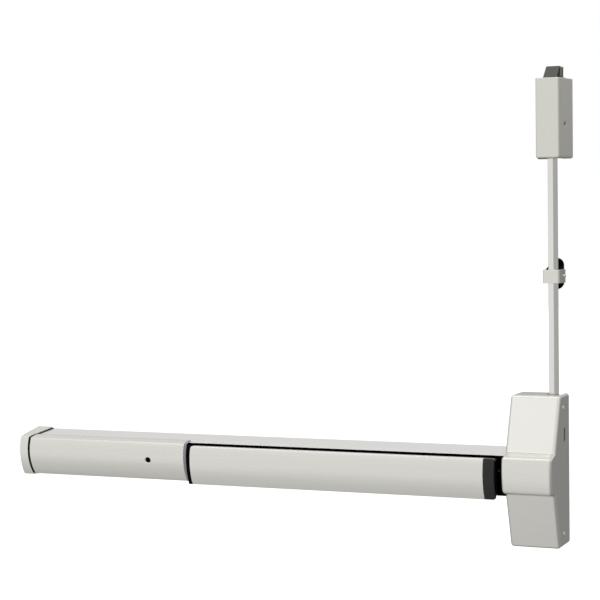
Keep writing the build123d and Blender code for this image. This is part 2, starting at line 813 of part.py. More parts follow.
# Case cover, a cast shell open at the back
def case_outline(back):
    return [
        (back, case_top),
        (case_top_depth, case_top),
        (shoulder_depth, shoulder_z),
        (nose_depth, nose_top),
        (nose_bottom_depth, nose_bottom),
        (chin_depth, chin_z),
        (case_bottom_depth, case_bottom),
        (back, case_bottom),
    ]


def case_face(x, back):
    points = [Vector(x, -d, z) for d, z in case_outline(back)]
    crown = Vector(x, -(nose_depth + nose_bulge), (nose_top + nose_bottom) / 2)
    edges = []
    for i, start in enumerate(points):
        end = points[(i + 1) % len(points)]
        if i == 3:
            edges.append(ThreePointArc(start, crown, end))
        else:
            edges.append(Line(start, end))
    return Face(Wire(edges))


case_half = case_width / 2
shell = extrude(case_face(-case_half, 0), amount=case_width, dir=(1, 0, 0))


def near_corner(edge, index, length, reach):
    d, z = case_outline(0)[index]
    middle = edge.center()
    return abs(edge.length - length) < 0.01 and abs(middle.Y + d) < reach and abs(middle.Z - z) < reach


case_bends = [
    (1, case_corner_radius),
    (2, shoulder_radius),
    (3, nose_top_radius),
    (4, nose_bottom_radius),
    (5, chin_radius),
    (6, case_corner_radius),
]
for corner, radius in case_bends:
    shell = soften(shell, lambda e: near_corner(e, corner, case_width, 0.01), radius)


def side_rim(edge):
    middle = edge.center()
    on_side = abs(abs(middle.X) - case_half) < 0.01
    return on_side and middle.Y < -0.5 and abs(edge @ 0 - edge @ 1) < 400


front_rim = [e for e in shell.edges() if side_rim(e) and abs((e @ 0).X - (e @ 1).X) < 0.01]
shell = fillet(front_rim, case_edge_radius)
inner_face = offset(case_face(-case_half + case_wall, -20), amount=-case_wall)
inner_width = case_width - 2 * case_wall
hollow = extrude(inner_face, amount=inner_width, dir=(1, 0, 0))
hollow = soften(
    hollow, lambda e: near_corner(e, 4, inner_width, 2 * case_wall), nose_bottom_radius - case_wall
)
shell -= hollow

# Openings of the case: the rod's notch in the top, the rail's doorway in the left wall
notch_left = rod_x - notch_radius
notch_right = rod_x + notch_radius
notch_floor = case_top - 2 * case_wall
shell -= round_z(rod_x, rod_depth, notch_floor, case_top + 1, notch_radius)
shell -= block(notch_left, notch_right, -1, rod_depth, notch_floor, case_top + 1)
doorway = plate_x(rail_shape(clear_gap, rail_depth + 5), -case_half - 1, -case_half + 2 * case_wall)
shell -= doorway
slot_half = side_slot_height / 2 - side_slot_width / 2
for z in (side_slot_z - slot_half, side_slot_z + slot_half):
    shell -= round_x(side_slot_depth, z, case_half - side_slot_sink, case_half + 1, side_slot_width / 2)
shell -= block(
    case_half - side_slot_sink,
    case_half + 1,
    side_slot_depth - side_slot_width / 2,
    side_slot_depth + side_slot_width / 2,
    side_slot_z - slot_half,
    side_slot_z + slot_half,
)
cover_screw_zs = (case_top - cover_screw_from_top, case_bottom + cover_screw_from_bottom)
cover_screw_places = [(side, z) for side in (1, -1) for z in cover_screw_zs]
cover_screw_shank = 1.5
for side, z in cover_screw_places:
    inner_x = side * (case_half - case_wall - 1)
    shell -= round_x(cover_screw_depth, z, inner_x, side * (case_half + 1), cover_screw_shank + 0.6)
parts["case_cover"] = shell

# Case base plate with lugs for the cover screws and a guide for the rod's stud
base_half = case_half - base_margin
base_bottom = case_bottom + base_margin
base = block(-base_half, base_half, 0, base_thickness, base_bottom, case_top - base_top_gap)
rail_gap_z = rail_half_height + clear_gap
base -= block(-base_half - 1, rail_right + clear_gap, -1, base_thickness + 1, -rail_gap_z, rail_gap_z)
lug_sheet = 2.5
lug_half_height = 6.0
lug_depth = cover_screw_depth + lug_half_height
for side, z in cover_screw_places:
    outer_x = side * base_half
    inner_x = side * (base_half - lug_sheet)
    base += block(outer_x, inner_x, 0, lug_depth, z - lug_half_height, z + lug_half_height)
    base -= round_x(cover_screw_depth, z, inner_x - side, outer_x + side, cover_screw_shank + 0.15)
for side_x in (1, -1):
    for side_z in (1, -1):
        x = side_x * case_screw_span_x / 2
        z = side_z * case_screw_span_z / 2
        base -= round_y(x, z, -1, base_thickness + 1, case_screw_radius)
base -= round_y(crank_x, crank_pivot_z, -1, base_thickness + 1, crank_pivot_radius)
parts["case_base"] = base
case_screws = []
for side, z in cover_screw_places:
    seat_x = side * case_half
    case_screws.append(dome_screw(seat_x, cover_screw_depth, z, side, cover_screw_shank, 5.5, 3.2, 1.4))
parts["case_cover_screws"] = case_screws

# Guide cheeks that hold the lift block upright
lift_back = 13.0
lift_front = 27.0
guide_half = lift_block_width / 2 + slide_gap
guide_cheek = 2.0
cheek_bottom = lift_block_shoulder + 4
cheek_height = 30.0
cheek_top = cheek_bottom + cheek_height
guide_left = rod_x - guide_half - guide_cheek
guide_right = rod_x + guide_half
guide_back = base_thickness + guide_cheek
lift_guide = block(guide_left, guide_right + guide_cheek, base_thickness, guide_back, cheek_bottom, cheek_top)
for x in (guide_left, guide_right):
    lift_guide += block(x, x + guide_cheek, base_thickness, lift_front, cheek_bottom, cheek_top)
parts["lift_guide"] = lift_guide

# Bell crank: the drawbar pulls its lower arm to the left and its right arm draws the rod down
lift_tip = (crank_x + crank_lift_arm * cos(crank_swing), crank_pivot_z + crank_lift_arm * sin(crank_swing))
draw_end = (crank_x + crank_draw_arm * sin(crank_swing), crank_pivot_z - crank_draw_arm * cos(crank_swing))
crank_front = crank_back_depth + crank_thickness
crank = round_y(crank_x, crank_pivot_z, base_thickness + seat_gap, crank_front, crank_boss_radius)
for tip in (lift_tip, draw_end):
    outline = tapered_arm((crank_x, crank_pivot_z), tip, crank_boss_radius - 0.5, crank_arm_half)
    crank += plate_y(outline, crank_back_depth, crank_front)
    crank += round_y(*tip, crank_back_depth, crank_front, crank_arm_half)
crank -= round_y(crank_x, crank_pivot_z, 0, 2 * crank_front, crank_pivot_radius + running_gap)
crank -= round_y(*lift_tip, 0, 2 * crank_front, crank_pin_radius)
for reach in (crank_draw_arm * cos(crank_swing) - link_slack, crank_draw_arm + 3 * link_slack):
    slot_x = crank_x + reach * sin(crank_swing)
    slot_z = crank_pivot_z - reach * cos(crank_swing)
    crank -= round_y(slot_x, slot_z, crank_back_depth - 1, crank_front + 1, yoke_pin_radius + link_slack)
parts["bell_crank"] = crank
pivot_head = 2.3
pivot_seat = crank_front + seat_gap
pivot_pin = round_y(crank_x, crank_pivot_z, 0, pivot_seat, crank_pivot_radius)
pivot_pin += round_y(crank_x, crank_pivot_z, pivot_seat, pivot_seat + pivot_head, crank_pivot_radius + 2.5)
parts["crank_pivot_pin"] = pivot_pin
tongue_back = crank_front + clear_gap
tongue_front = tongue_back + tongue_thickness
parts["crank_pin"] = round_y(*lift_tip, crank_back_depth, tongue_front + clear_gap, crank_pin_radius)

# Lift block with a slotted tongue for the crank's pin, the adjusting stud, nut and rod
lift_half = lift_block_width / 2
lift_left = rod_x - lift_half
lift_right = rod_x + lift_half
lift = block(lift_left, lift_right, lift_back, lift_front, lift_block_shoulder, lift_block_top)
lift += block(lift_left, lift_right, tongue_back, tongue_front, lift_block_bottom, lift_block_shoulder)
pin_slot_length = 2 * crank_pin_radius + crank_lift_arm * (1 - cos(crank_swing)) + 4 * link_slack
pin_slot_height = 2 * (crank_pin_radius + link_slack)
lift -= slot_y(rod_x, lift_tip[1], pin_slot_length, pin_slot_height, tongue_back - 1, tongue_front + 1)
stud_seat = lift_block_shoulder + 6
lift -= round_z(rod_x, rod_depth, stud_seat, lift_block_top + 1, stud_radius)
parts["lift_block"] = lift
parts["adjusting_stud"] = round_z(rod_x, rod_depth, stud_seat, rod_bottom + stud_engagement, stud_radius)
nut = hexagon_z(rod_x, rod_depth, rod_bottom - seat_gap - nut_height, rod_bottom - seat_gap, nut_flats)
parts["lock_nut"] = nut - round_z(rod_x, rod_depth, rod_bottom - 2 * nut_height, rod_bottom, stud_radius)
rod = hexagon_z(rod_x, rod_depth, rod_bottom, rod_top, rod_flats, rod_turn)
rod = soften(rod, lambda e: abs(e.length - (rod_top - rod_bottom)) < 0.01, rod_corner_radius)
rod -= round_z(rod_x, rod_depth, rod_bottom - 1, rod_bottom + stud_engagement, stud_radius + seat_gap / 4)
rod -= round_z(rod_x, rod_depth, rod_top - stud_engagement, rod_top + 1, stud_radius + seat_gap / 4)
parts["vertical_rod"] = rod

# Rod guide: a strap folded round the rod, screwed to a nylon block on the door
strap_half = guide_width / 2
guide_bottom = guide_z - guide_height / 2
guide_top = guide_z + guide_height / 2


def rounded_front(width_half, front, z0, z1, radius):
    """A block on the door behind the rod whose two upright front edges are rounded."""
    solid = block(rod_x - width_half, rod_x + width_half, 0, front, z0, z1)
    return soften(solid, lambda e: abs(e.length - (z1 - z0)) < 0.01 and -e.center().Y > front - 0.01, radius)


strap = rounded_front(strap_half, guide_depth, guide_bottom, guide_top, guide_bend)
strap_front = guide_depth - guide_sheet
inner_bend = guide_bend - guide_sheet
strap -= rounded_front(strap_half - guide_sheet, strap_front, guide_bottom - 1, guide_top + 1, inner_bend)
strap_left = rod_x - strap_half - 1
strap_right = rod_x + strap_half + 1
strap -= round_x(guide_screw_depth, guide_z, strap_left, strap_right, guide_screw_opening)
parts["guide_strap"] = strap

# Black nylon block that fills the strap and is screwed to the door above and below it
nylon_half = strap_half - guide_sheet - seat_gap / 2
nylon_front = strap_front - seat_gap
base_z = guide_z + guide_base_lift
nylon = slot_y(rod_x, base_z, 2 * nylon_half, guide_base_height, 0, guide_base_thickness)
nylon += rounded_front(nylon_half, nylon_front, guide_bottom + 1.2, guide_top - 1.2, inner_bend)
shoulder = [
    (0, guide_top - 2.4),
    (nylon_front - inner_bend, guide_top - 2.4),
    (nylon_front - inner_bend, guide_top - 1.2),
    (guide_base_thickness, guide_top - 1.2 + guide_shoulder_rise),
    (0, guide_top - 1.2 + guide_shoulder_rise),
]
nylon += plate_x(shoulder, rod_x - nylon_half, rod_x + nylon_half)
rod_corner = rod_flats / 2 / cos(radians(30))
nylon -= round_z(
    rod_x, rod_depth, guide_z - guide_base_height, guide_z + guide_base_height, rod_corner + rod_clearance
)
for side in (1, -1):
    screw_z = base_z + side * guide_hole_span / 2
    nylon -= round_y(rod_x, screw_z, -1, guide_base_thickness + 1, guide_hole_radius)
    inner_x = rod_x + side * (nylon_half - 7)
    nylon -= round_x(guide_screw_depth, guide_z, inner_x, rod_x + side * (nylon_half + 1), 1.5)
parts["guide_block"] = nylon
strap_screws = []
for side in (1, -1):
    seat_x = rod_x + side * (nylon_half + seat_gap / 4)
    strap_screws.append(dome_screw(seat_x, guide_screw_depth, guide_z, side, 1.5, 6.0, guide_screw_head, 4.2))
parts["guide_screws"] = strap_screws

# Top latch cover: a tapered shell, closed below, open at the top and at the door
latch_x = rod_x + latch_offset
latch_taper = (latch_back_width - latch_front_width) / 2 / latch_depth
taper_stretch = (1 + latch_taper**2) ** 0.5


def latch_half(depth, inset):
    return latch_back_width / 2 - latch_taper * depth - inset * taper_stretch


def latch_outline(back, inset):
    front = latch_depth - inset
    return [
        (latch_x - latch_half(back, inset), back),
        (latch_x - latch_half(front, inset), front),
        (latch_x + latch_half(front, inset), front),
        (latch_x + latch_half(back, inset), back),
    ]


latch = plate_z(latch_outline(0, 0), latch_bottom, latch_top)
latch = soften(latch, lambda e: abs(e.length - latch_height) < 0.01 and -e.center().Y > latch_depth - 1, 2.2)
latch = soften(latch, lambda e: abs(e.center().Z - latch_bottom) < 0.01 and -e.center().Y > 1, 3.2)
latch = soften(latch, lambda e: abs(e.center().Z - latch_top) < 0.01 and -e.center().Y > 1, 0.9)
latch -= plate_z(latch_outline(-5, latch_wall), latch_bottom + latch_wall, latch_top + 1)
latch_notch = notch_radius - 1
latch -= round_z(rod_x, rod_depth, latch_bottom - 1, latch_bottom + 2 * latch_wall, latch_notch)
latch -= block(
    rod_x - latch_notch, rod_x + latch_notch, -1, rod_depth, latch_bottom - 1, latch_bottom + 2 * latch_wall
)
recess_x = latch_half(latch_screw_depth, 0) - latch_screw_recess
for side in (1, -1):
    outer_x = latch_x + side * latch_half(0, 0)
    for reach, radius in ((recess_x - 5, 1.6), (recess_x, latch_screw_sink)):
        latch -= round_x(latch_screw_depth, latch_cover_screw_z, latch_x + side * reach, outer_x, radius)
parts["latch_cover"] = latch

# Latch chassis: plate on the door, bolt cheeks, shelf under the spring, lugs for the cover
plate_half = latch_half(base_thickness, latch_wall) - clear_gap
plate_left = latch_x - plate_half
plate_right = latch_x + plate_half
chassis = block(plate_left, plate_right, 0, base_thickness, latch_plate_bottom, latch_plate_top)
bolt_left = rod_x - bolt_width / 2 - bolt_offset
bolt_right = bolt_left + bolt_width
left_cheek_x = bolt_left - seat_gap - latch_cheek
right_cheek_x = bolt_right + trip_gap + trip_thickness + seat_gap
right_cheek_front = 19.0
shelf_front = bolt_front_depth - 2
cheek_end = latch_top - 4
chassis += block(left_cheek_x, left_cheek_x + latch_cheek, 0, shelf_front, shelf_z, cheek_end)
chassis += block(right_cheek_x, right_cheek_x + latch_cheek, 0, right_cheek_front, shelf_z, cheek_end)
chassis += block(right_cheek_x, right_cheek_x + latch_cheek, 5.0, 10.0, cheek_end - 1, latch_top + 1.5)
chassis += block(left_cheek_x, right_cheek_x, 0, shelf_front, shelf_z, shelf_z + shelf_thickness)
chassis -= round_z(rod_x, rod_depth, shelf_z - 1, shelf_z + shelf_thickness + 1, stud_radius + slide_gap)
lug_front = latch_screw_depth + latch_lug_half
lug_back = latch_screw_depth - latch_lug_half
lug_tip = latch_half(lug_front, latch_wall) - seat_gap
lug_low = latch_cover_screw_z - latch_lug_half
for side, cheek_x in ((-1, left_cheek_x + latch_cheek), (1, right_cheek_x)):
    tip = latch_x + side * lug_tip
    chassis += block(tip, cheek_x, lug_back, lug_front, lug_low, lug_low + 2 * latch_lug_half)
    chassis -= round_x(latch_screw_depth, latch_cover_screw_z, tip + side, cheek_x - side * 3, 1.5)
latch_middle = (latch_plate_bottom + latch_plate_top) / 2
for side_x in (1, -1):
    for side_z in (1, -1):
        x = latch_x + side_x * latch_screw_span_x / 2
        z = latch_middle + side_z * latch_screw_span_z / 2
        chassis -= round_y(x, z, -1, base_thickness + 1, latch_screw_radius)
trip_x = bolt_right + trip_gap
trip_pin_radius = 2.0
trip_pin_proud = 0.3
chassis_right = right_cheek_x + latch_cheek
chassis -= round_x(trip_pivot_depth, trip_pivot_z, trip_x - 1, chassis_right + 1, trip_pin_radius)
parts["latch_chassis"] = chassis
latch_screws = []
for side in (1, -1):
    screw_x = latch_x + side * recess_x
    latch_screws.append(dome_screw(screw_x, latch_screw_depth, latch_cover_screw_z, side, 1.4, 6.0, 2.8, 1.0))
parts["latch_cover_screws"] = latch_screws

# Latch bolt with its sloped nose, drawn down by the stud on the rod's end
bolt_outline = [
    (bolt_back_depth, bolt_bottom),
    (bolt_front_depth, bolt_bottom),
    (bolt_front_depth, bolt_slope_start),
    (bolt_top_depth, bolt_top),
    (bolt_back_depth, bolt_top),
]
bolt = plate_x(bolt_outline, bolt_left, bolt_right)
slope_z = bolt_slope_start - 0.01
bolt = soften(bolt, lambda e: e.center().Z > slope_z and e.center().X > bolt_right - 0.01, 1.0)
bolt -= round_z(rod_x, rod_depth, bolt_bottom - 1, bolt_bottom + 14, stud_radius)
parts["latch_bolt"] = bolt
parts["bolt_stud"] = round_z(rod_x, rod_depth, rod_top - stud_engagement + 2, bolt_bottom + 13, stud_radius)
bolt_spring_length = bolt_bottom - shelf_z - shelf_thickness - seat_gap
bolt_spring_place = Pos(rod_x, -rod_depth, shelf_z + shelf_thickness + seat_gap / 2)
parts["bolt_spring"] = helix_spring(bolt_spring_length, 6.0, spring_wire_radius, 4, bolt_spring_place)

# Trip lever beside the bolt, sprung, on its own pin
trip_outline = [
    (trip_pivot_depth - 5, trip_pivot_z - 7),
    (trip_pivot_depth + 5, trip_pivot_z - 7),
    (trip_pivot_depth + 7, latch_top - 6),
    (trip_pivot_depth + 7, latch_top + 3),
    (trip_pivot_depth + 1, trip_top),
    (trip_pivot_depth - 5, trip_top),
    (trip_pivot_depth - 4, latch_top - 6),
]
trip = plate_x(trip_outline, trip_x, trip_x + trip_thickness)
trip_right = trip_x + trip_thickness
trip -= round_x(trip_pivot_depth, trip_pivot_z, trip_x - 1, trip_right + 1, trip_pin_radius + running_gap)
parts["trip_lever"] = trip
pin_head_x = chassis_right + 1.5
trip_pin = round_x(trip_pivot_depth, trip_pivot_z, trip_x - trip_pin_proud, pin_head_x, trip_pin_radius)
trip_pin += round_x(trip_pivot_depth, trip_pivot_z, chassis_right, pin_head_x, trip_pin_radius + 1.5)
parts["trip_pin"] = trip_pin

os.makedirs("parts", exist_ok=True)
for name, shape in parts.items():
    if isinstance(shape, list):
        shape = Compound(children=[solid for item in shape for solid in item.solids()])
    export_step(shape, f"parts/{name}.step")
print(len(parts), "nodes written")
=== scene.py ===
# %% [markdown]
# # Vertical rod exit device
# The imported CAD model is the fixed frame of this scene. X runs along the push rail, Y into the door, Z up,
# and every Blender object is in metres in that frame, with its object at the origin and its place in its mesh.
# The lesson dresses the frame: first the finishes, then the folded sheets, the screws, springs and threads,
# then the camera and the studio.

# %%
import json
import math

import bmesh
import bpy
from mathutils import Matrix, Vector


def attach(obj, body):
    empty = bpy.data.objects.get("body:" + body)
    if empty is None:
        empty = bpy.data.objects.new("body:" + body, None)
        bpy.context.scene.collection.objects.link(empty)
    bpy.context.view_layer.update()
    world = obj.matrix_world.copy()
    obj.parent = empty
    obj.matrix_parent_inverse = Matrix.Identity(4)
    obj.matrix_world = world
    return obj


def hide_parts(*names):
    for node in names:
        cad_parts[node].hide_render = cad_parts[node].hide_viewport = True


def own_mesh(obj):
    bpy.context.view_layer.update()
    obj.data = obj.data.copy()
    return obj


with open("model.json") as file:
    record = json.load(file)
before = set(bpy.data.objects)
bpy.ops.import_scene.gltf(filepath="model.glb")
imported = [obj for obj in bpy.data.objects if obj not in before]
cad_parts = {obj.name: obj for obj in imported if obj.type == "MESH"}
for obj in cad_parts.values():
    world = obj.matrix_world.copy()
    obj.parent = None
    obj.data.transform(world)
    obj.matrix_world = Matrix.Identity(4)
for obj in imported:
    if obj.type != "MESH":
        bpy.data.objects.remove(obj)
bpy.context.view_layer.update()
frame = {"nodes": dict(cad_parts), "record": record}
NODES = frame["nodes"]
MM = 0.001
print(len(NODES), "CAD nodes loaded")

# %% [markdown]
# ## Colours and nodes
# Colours are written as the hex code that the eye reads off a screen. Blender's shaders count in linear light,
# so one function turns the code into linear numbers. A second small function adds any node with its settings
# and links, which keeps every material and every Geometry Nodes tree readable as a list of steps.

# %%
def srgb(code):
    """A hex sRGB code as linear red, green, blue and alpha."""
    channels = [int(code[i : i + 2], 16) / 255 for i in (1, 3, 5)]
    linear = [c / 12.92 if c <= 0.04045 else ((c + 0.055) / 1.055) ** 2.4 for c in channels]
    return (*linear, 1.0)


def add_node(tree, kind, inputs=(), **settings):
    """Adds a node. inputs maps a socket's name or number to a value or to another node's output."""
    node = tree.nodes.new(kind)
    for key, value in settings.items():
        setattr(node, key, value)
    for key, value in dict(inputs).items():
        if isinstance(value, bpy.types.NodeSocket):
            tree.links.new(value, node.inputs[key])
        else:
            node.inputs[key].default_value = value
    return node


def remap(tree, source, from_low, from_high, to_low, to_high):
    """A number moved from one range to another, clamped at the ends."""
    node = add_node(tree, "ShaderNodeMapRange", {
        "Value": source, "From Min": from_low, "From Max": from_high, "To Min": to_low, "To Max": to_high,
    })
    return node.outputs["Result"]


print("mid grey #808080 is", round(srgb("#808080")[0], 3), "in linear light")

# %% [markdown]
# ## What the finishes share
# Each finish is a Principled shader with a fine grain: noise in object coordinates, stretched along the
# brushing, whose valleys and ridges differ a little in colour, gloss and height. A Bevel node rounds the
# shading of sharp edges by 0.9 mm, as deburring and tumbling do to real sheet and castings. The same node
# shows where the edges are, and on the metals they get a lighter colour there: a painted highlight, standing in
# for the light that rounded edges catch.

# %%
EDGE_RADIUS = 0.9 * MM
EDGE_SAMPLES = 4
SHARP_EDGE, FLAT_FACE = 0.8, 0.99  # cosines between the rounded and the true normal
GRAIN_LOW, GRAIN_HIGH = 0.3, 0.7  # the noise seldom leaves this range
GRAIN_DETAIL, GRAIN_ROUGHNESS = 2.0, 0.6
RELIEF = 0.1 * MM


def new_material(name):
    """An empty Principled material, with its tree, its shader and the place of each point on the object."""
    material = bpy.data.materials.new(name)
    material.use_nodes = True
    tree = material.node_tree
    tree.nodes.clear()
    shader = add_node(tree, "ShaderNodeBsdfPrincipled")
    add_node(tree, "ShaderNodeOutputMaterial", {"Surface": shader.outputs["BSDF"]})
    place = add_node(tree, "ShaderNodeTexCoord").outputs["Object"]
    return material, tree, shader, place


def grain(tree, place, stretch, size):
    """Noise whose cells are about size metres wide, stretched by the three factors of stretch."""
    mapping = add_node(tree, "ShaderNodeMapping", {"Vector": place, "Scale": stretch})
    noise = add_node(tree, "ShaderNodeTexNoise", {
        "Vector": mapping.outputs["Vector"], "Scale": 1 / size,
        "Detail": GRAIN_DETAIL, "Roughness": GRAIN_ROUGHNESS,
    })
    return noise.outputs["Fac"]


def two_colours(tree, factor, dark, light):
    """The grain's colour: dark in its valleys and light on its ridges."""
    colours = add_node(tree, "ShaderNodeValToRGB", {"Fac": factor})
    low, high = colours.color_ramp.elements
    low.position, low.color = GRAIN_LOW, srgb(dark)
    high.position, high.color = GRAIN_HIGH, srgb(light)
    return colours.outputs["Color"]


def edge_mask(tree):
    """1 where the surface turns sharply and 0 on flats, with the softened normal."""
    soft = add_node(tree, "ShaderNodeBevel", {"Radius": EDGE_RADIUS}, samples=EDGE_SAMPLES)
    true = add_node(tree, "ShaderNodeNewGeometry")
    cosine = add_node(tree, "ShaderNodeVectorMath", {
        0: soft.outputs["Normal"], 1: true.outputs["Normal"],
    }, operation="DOT_PRODUCT")
    edges = remap(tree, cosine.outputs["Value"], SHARP_EDGE, FLAT_FACE, 1.0, 0.0)
    return edges, soft.outputs["Normal"]


def set_surface(tree, shader, fine, roughness, spread, bump, soft_normal):
    """Lets the grain vary the roughness, by the two changes of spread, and lift the surface by bump."""
    smoothest, roughest = roughness + spread[0], roughness + spread[1]
    tree.links.new(remap(tree, fine, GRAIN_LOW, GRAIN_HIGH, smoothest, roughest), shader.inputs["Roughness"])
    relief = add_node(tree, "ShaderNodeBump", {
        "Height": fine, "Strength": bump, "Distance": RELIEF, "Normal": soft_normal,
    })
    tree.links.new(relief.outputs["Normal"], shader.inputs["Normal"])


print("edges are rounded by", EDGE_RADIUS / MM, "mm in the shading")

# %% [markdown]
# ## Brushed and blasted metal
# The rail, touch bar, rod and latch cover are satin stainless steel and anodised aluminium, brushed in one
# direction. The real streaks are about 0.05 mm wide, too fine to show, so they are drawn 1.6 mm wide, which
# is about one pixel of the picture, and very faint. A stretch of 0.012 makes them 1.6 / 0.012 = 133 mm long.
# A piece brushed along X has no such streaks on the faces that look sideways, so there they run upwards. The
# levers, brackets and screws are plain, plated or blasted steel. Their pits of about 0.1 mm are drawn 0.7 to
# 0.9 mm wide, for the same reason.

# %%
ALONG_X = (0.012, 1.0, 1.0)
ALONG_Z = (1.0, 1.0, 0.012)
EVEN = (1.0, 1.0, 1.0)
SIDE_START, SIDE_END = 0.6, 0.8  # how far the normal points along X where a face counts as a side
METAL_SPREAD = (-0.01, 0.02)  # how the grain varies the roughness


def brushed_grain(tree, place, stretch, size):
    """The grain of a metal. Brushing along X turns upright on the faces that look sideways."""
    fine = grain(tree, place, stretch, size)
    if stretch != ALONG_X:
        return fine
    facing = add_node(tree, "ShaderNodeSeparateXYZ", {
        "Vector": add_node(tree, "ShaderNodeNewGeometry").outputs["True Normal"],
    })
    sideways = add_node(tree, "ShaderNodeMath", {0: facing.outputs["X"]}, operation="ABSOLUTE")
    on_side = remap(tree, sideways.outputs["Value"], SIDE_START, SIDE_END, 0.0, 1.0)
    both = add_node(tree, "ShaderNodeMix", {
        "Factor": on_side, 2: fine, 3: grain(tree, place, ALONG_Z, size),
    }, data_type="FLOAT")
    return both.outputs[0]


def metal(name, dark, light, edge_highlight, roughness, stretch, size, bump):
    """A metal finish. stretch is small along the brushing, and all ones for a blasted or plated surface."""
    material, tree, shader, place = new_material(name)
    fine = brushed_grain(tree, place, stretch, size)
    edges, soft_normal = edge_mask(tree)
    # On the edges the colour turns lighter: a painted highlight where rounded edges would catch the light.
    highlit_edge_colour = add_node(tree, "ShaderNodeMix", {
        "Factor": edges, 6: two_colours(tree, fine, dark, light), 7: srgb(edge_highlight),
    }, data_type="RGBA")
    tree.links.new(highlit_edge_colour.outputs[2], shader.inputs["Base Color"])
    shader.inputs["Metallic"].default_value = 1.0
    set_surface(tree, shader, fine, roughness, METAL_SPREAD, bump, soft_normal)
    return material


# Name, colours of valleys, ridges and the painted highlight on edges, roughness, brushing, width of a streak,
# relief
satin_steel = metal("satin_stainless_steel", "#d6d5cf", "#dad9d3", "#f4f3ef", 0.27, ALONG_X, 1.6 * MM, 0.012)
satin_aluminium = metal("anodised_aluminium", "#dedddb", "#e3e2df", "#f7f6f3", 0.33, ALONG_X, 1.6 * MM, 0.012)
cast_case = metal("brushed_cast_zinc", "#d8d7d2", "#dbdad5", "#fbfaf6", 0.28, ALONG_X, 1.5 * MM, 0.015)
upright_steel = metal("upright_satin_steel", "#d2d1ca", "#d6d5ce", "#f4f3ef", 0.28, ALONG_Z, 1.6 * MM, 0.012)
rod_steel = metal("ground_rod_steel", "#d6d5d1", "#e0dfdb", "#fbfaf6", 0.16, ALONG_Z, 1.2 * MM, 0.012)
plain_steel = metal("plain_sheet_steel", "#9a9a98", "#acacaa", "#c0c0be", 0.42, EVEN, 0.9 * MM, 0.15)
zinc_steel = metal("bright_zinc_plate", "#c4c4c2", "#d4d4d2", "#e8e8e6", 0.24, EVEN, 0.8 * MM, 0.08)
dark_steel = metal("sintered_dark_steel", "#565652", "#66665f", "#9c9c96", 0.42, EVEN, 0.7 * MM, 0.35)
black_oxide = metal("black_oxide_steel", "#141414", "#1c1c1c", "#3c3c3c", 0.40, EVEN, 0.7 * MM, 0.2)
print("metal finishes made")

# %% [markdown]
# ## Black nylon, rubber and grey trim
# The bar's end caps, the carrier and the rod guide are moulded nylon: nearly black, with the faint grain of
# the mould and a soft gloss that shows only as thin lights on the edges. The grain's cells of about 0.1 mm
# are drawn 0.8 to 0.9 mm wide. The gasket is matt rubber, and the trim at the cover's end a grey moulding.

# %%
MOULD_SPREAD = (-0.04, 0.06)


def moulded(name, dark, light, roughness, gloss, size, bump):
    """A moulded plastic or rubber with a fine grain from its mould."""
    material, tree, shader, place = new_material(name)
    fine = grain(tree, place, EVEN, size)
    _, soft_normal = edge_mask(tree)
    tree.links.new(two_colours(tree, fine, dark, light), shader.inputs["Base Color"])
    shader.inputs["Specular IOR Level"].default_value = gloss
    set_surface(tree, shader, fine, roughness, MOULD_SPREAD, bump, soft_normal)
    return material


# Name, colours of valleys and ridges, roughness, gloss, width of a grain, relief
black_nylon = moulded("black_moulded_nylon", "#0c0c0d", "#141416", 0.30, 0.4, 0.8 * MM, 0.15)
inner_nylon = moulded("black_carrier_nylon", "#060606", "#0b0b0b", 0.80, 0.03, 0.9 * MM, 0.15)
black_rubber = moulded("black_gasket_rubber", "#050505", "#0a0a0a", 0.70, 0.15, 0.9 * MM, 0.2)
grey_trim = moulded("grey_moulded_trim", "#918e93", "#9b989e", 0.2, 0.5, 0.8 * MM, 0.1)
print("moulded finishes made")

# %% [markdown]
# ## The rail channel, bright outside and black inside
# The rail channel is open to the front, and the touch bar slides in it. Outside it is brushed aluminium, and
# inside and on its front edges its colour is plain black, a painted shade, so that the gap over the bar shows
# as a plain dark line.
# The rail's top and bottom walls slope towards the front, 31.5 mm from the middle where they leave the door.
# Whatever lies deeper than a thin skin under those slopes is black, and the slopes are found again from the
# object coordinates: Y is minus the depth, so a slope over the depth changes its sign over Y.

# %%
PAINTED_SHADE_BLACK = "#0a0a0a"
SKIN = 0.3 * MM
RAIL_HALF = 31.5
TOP_SLOPE, BOTTOM_SLOPE = 0.18, 0.05


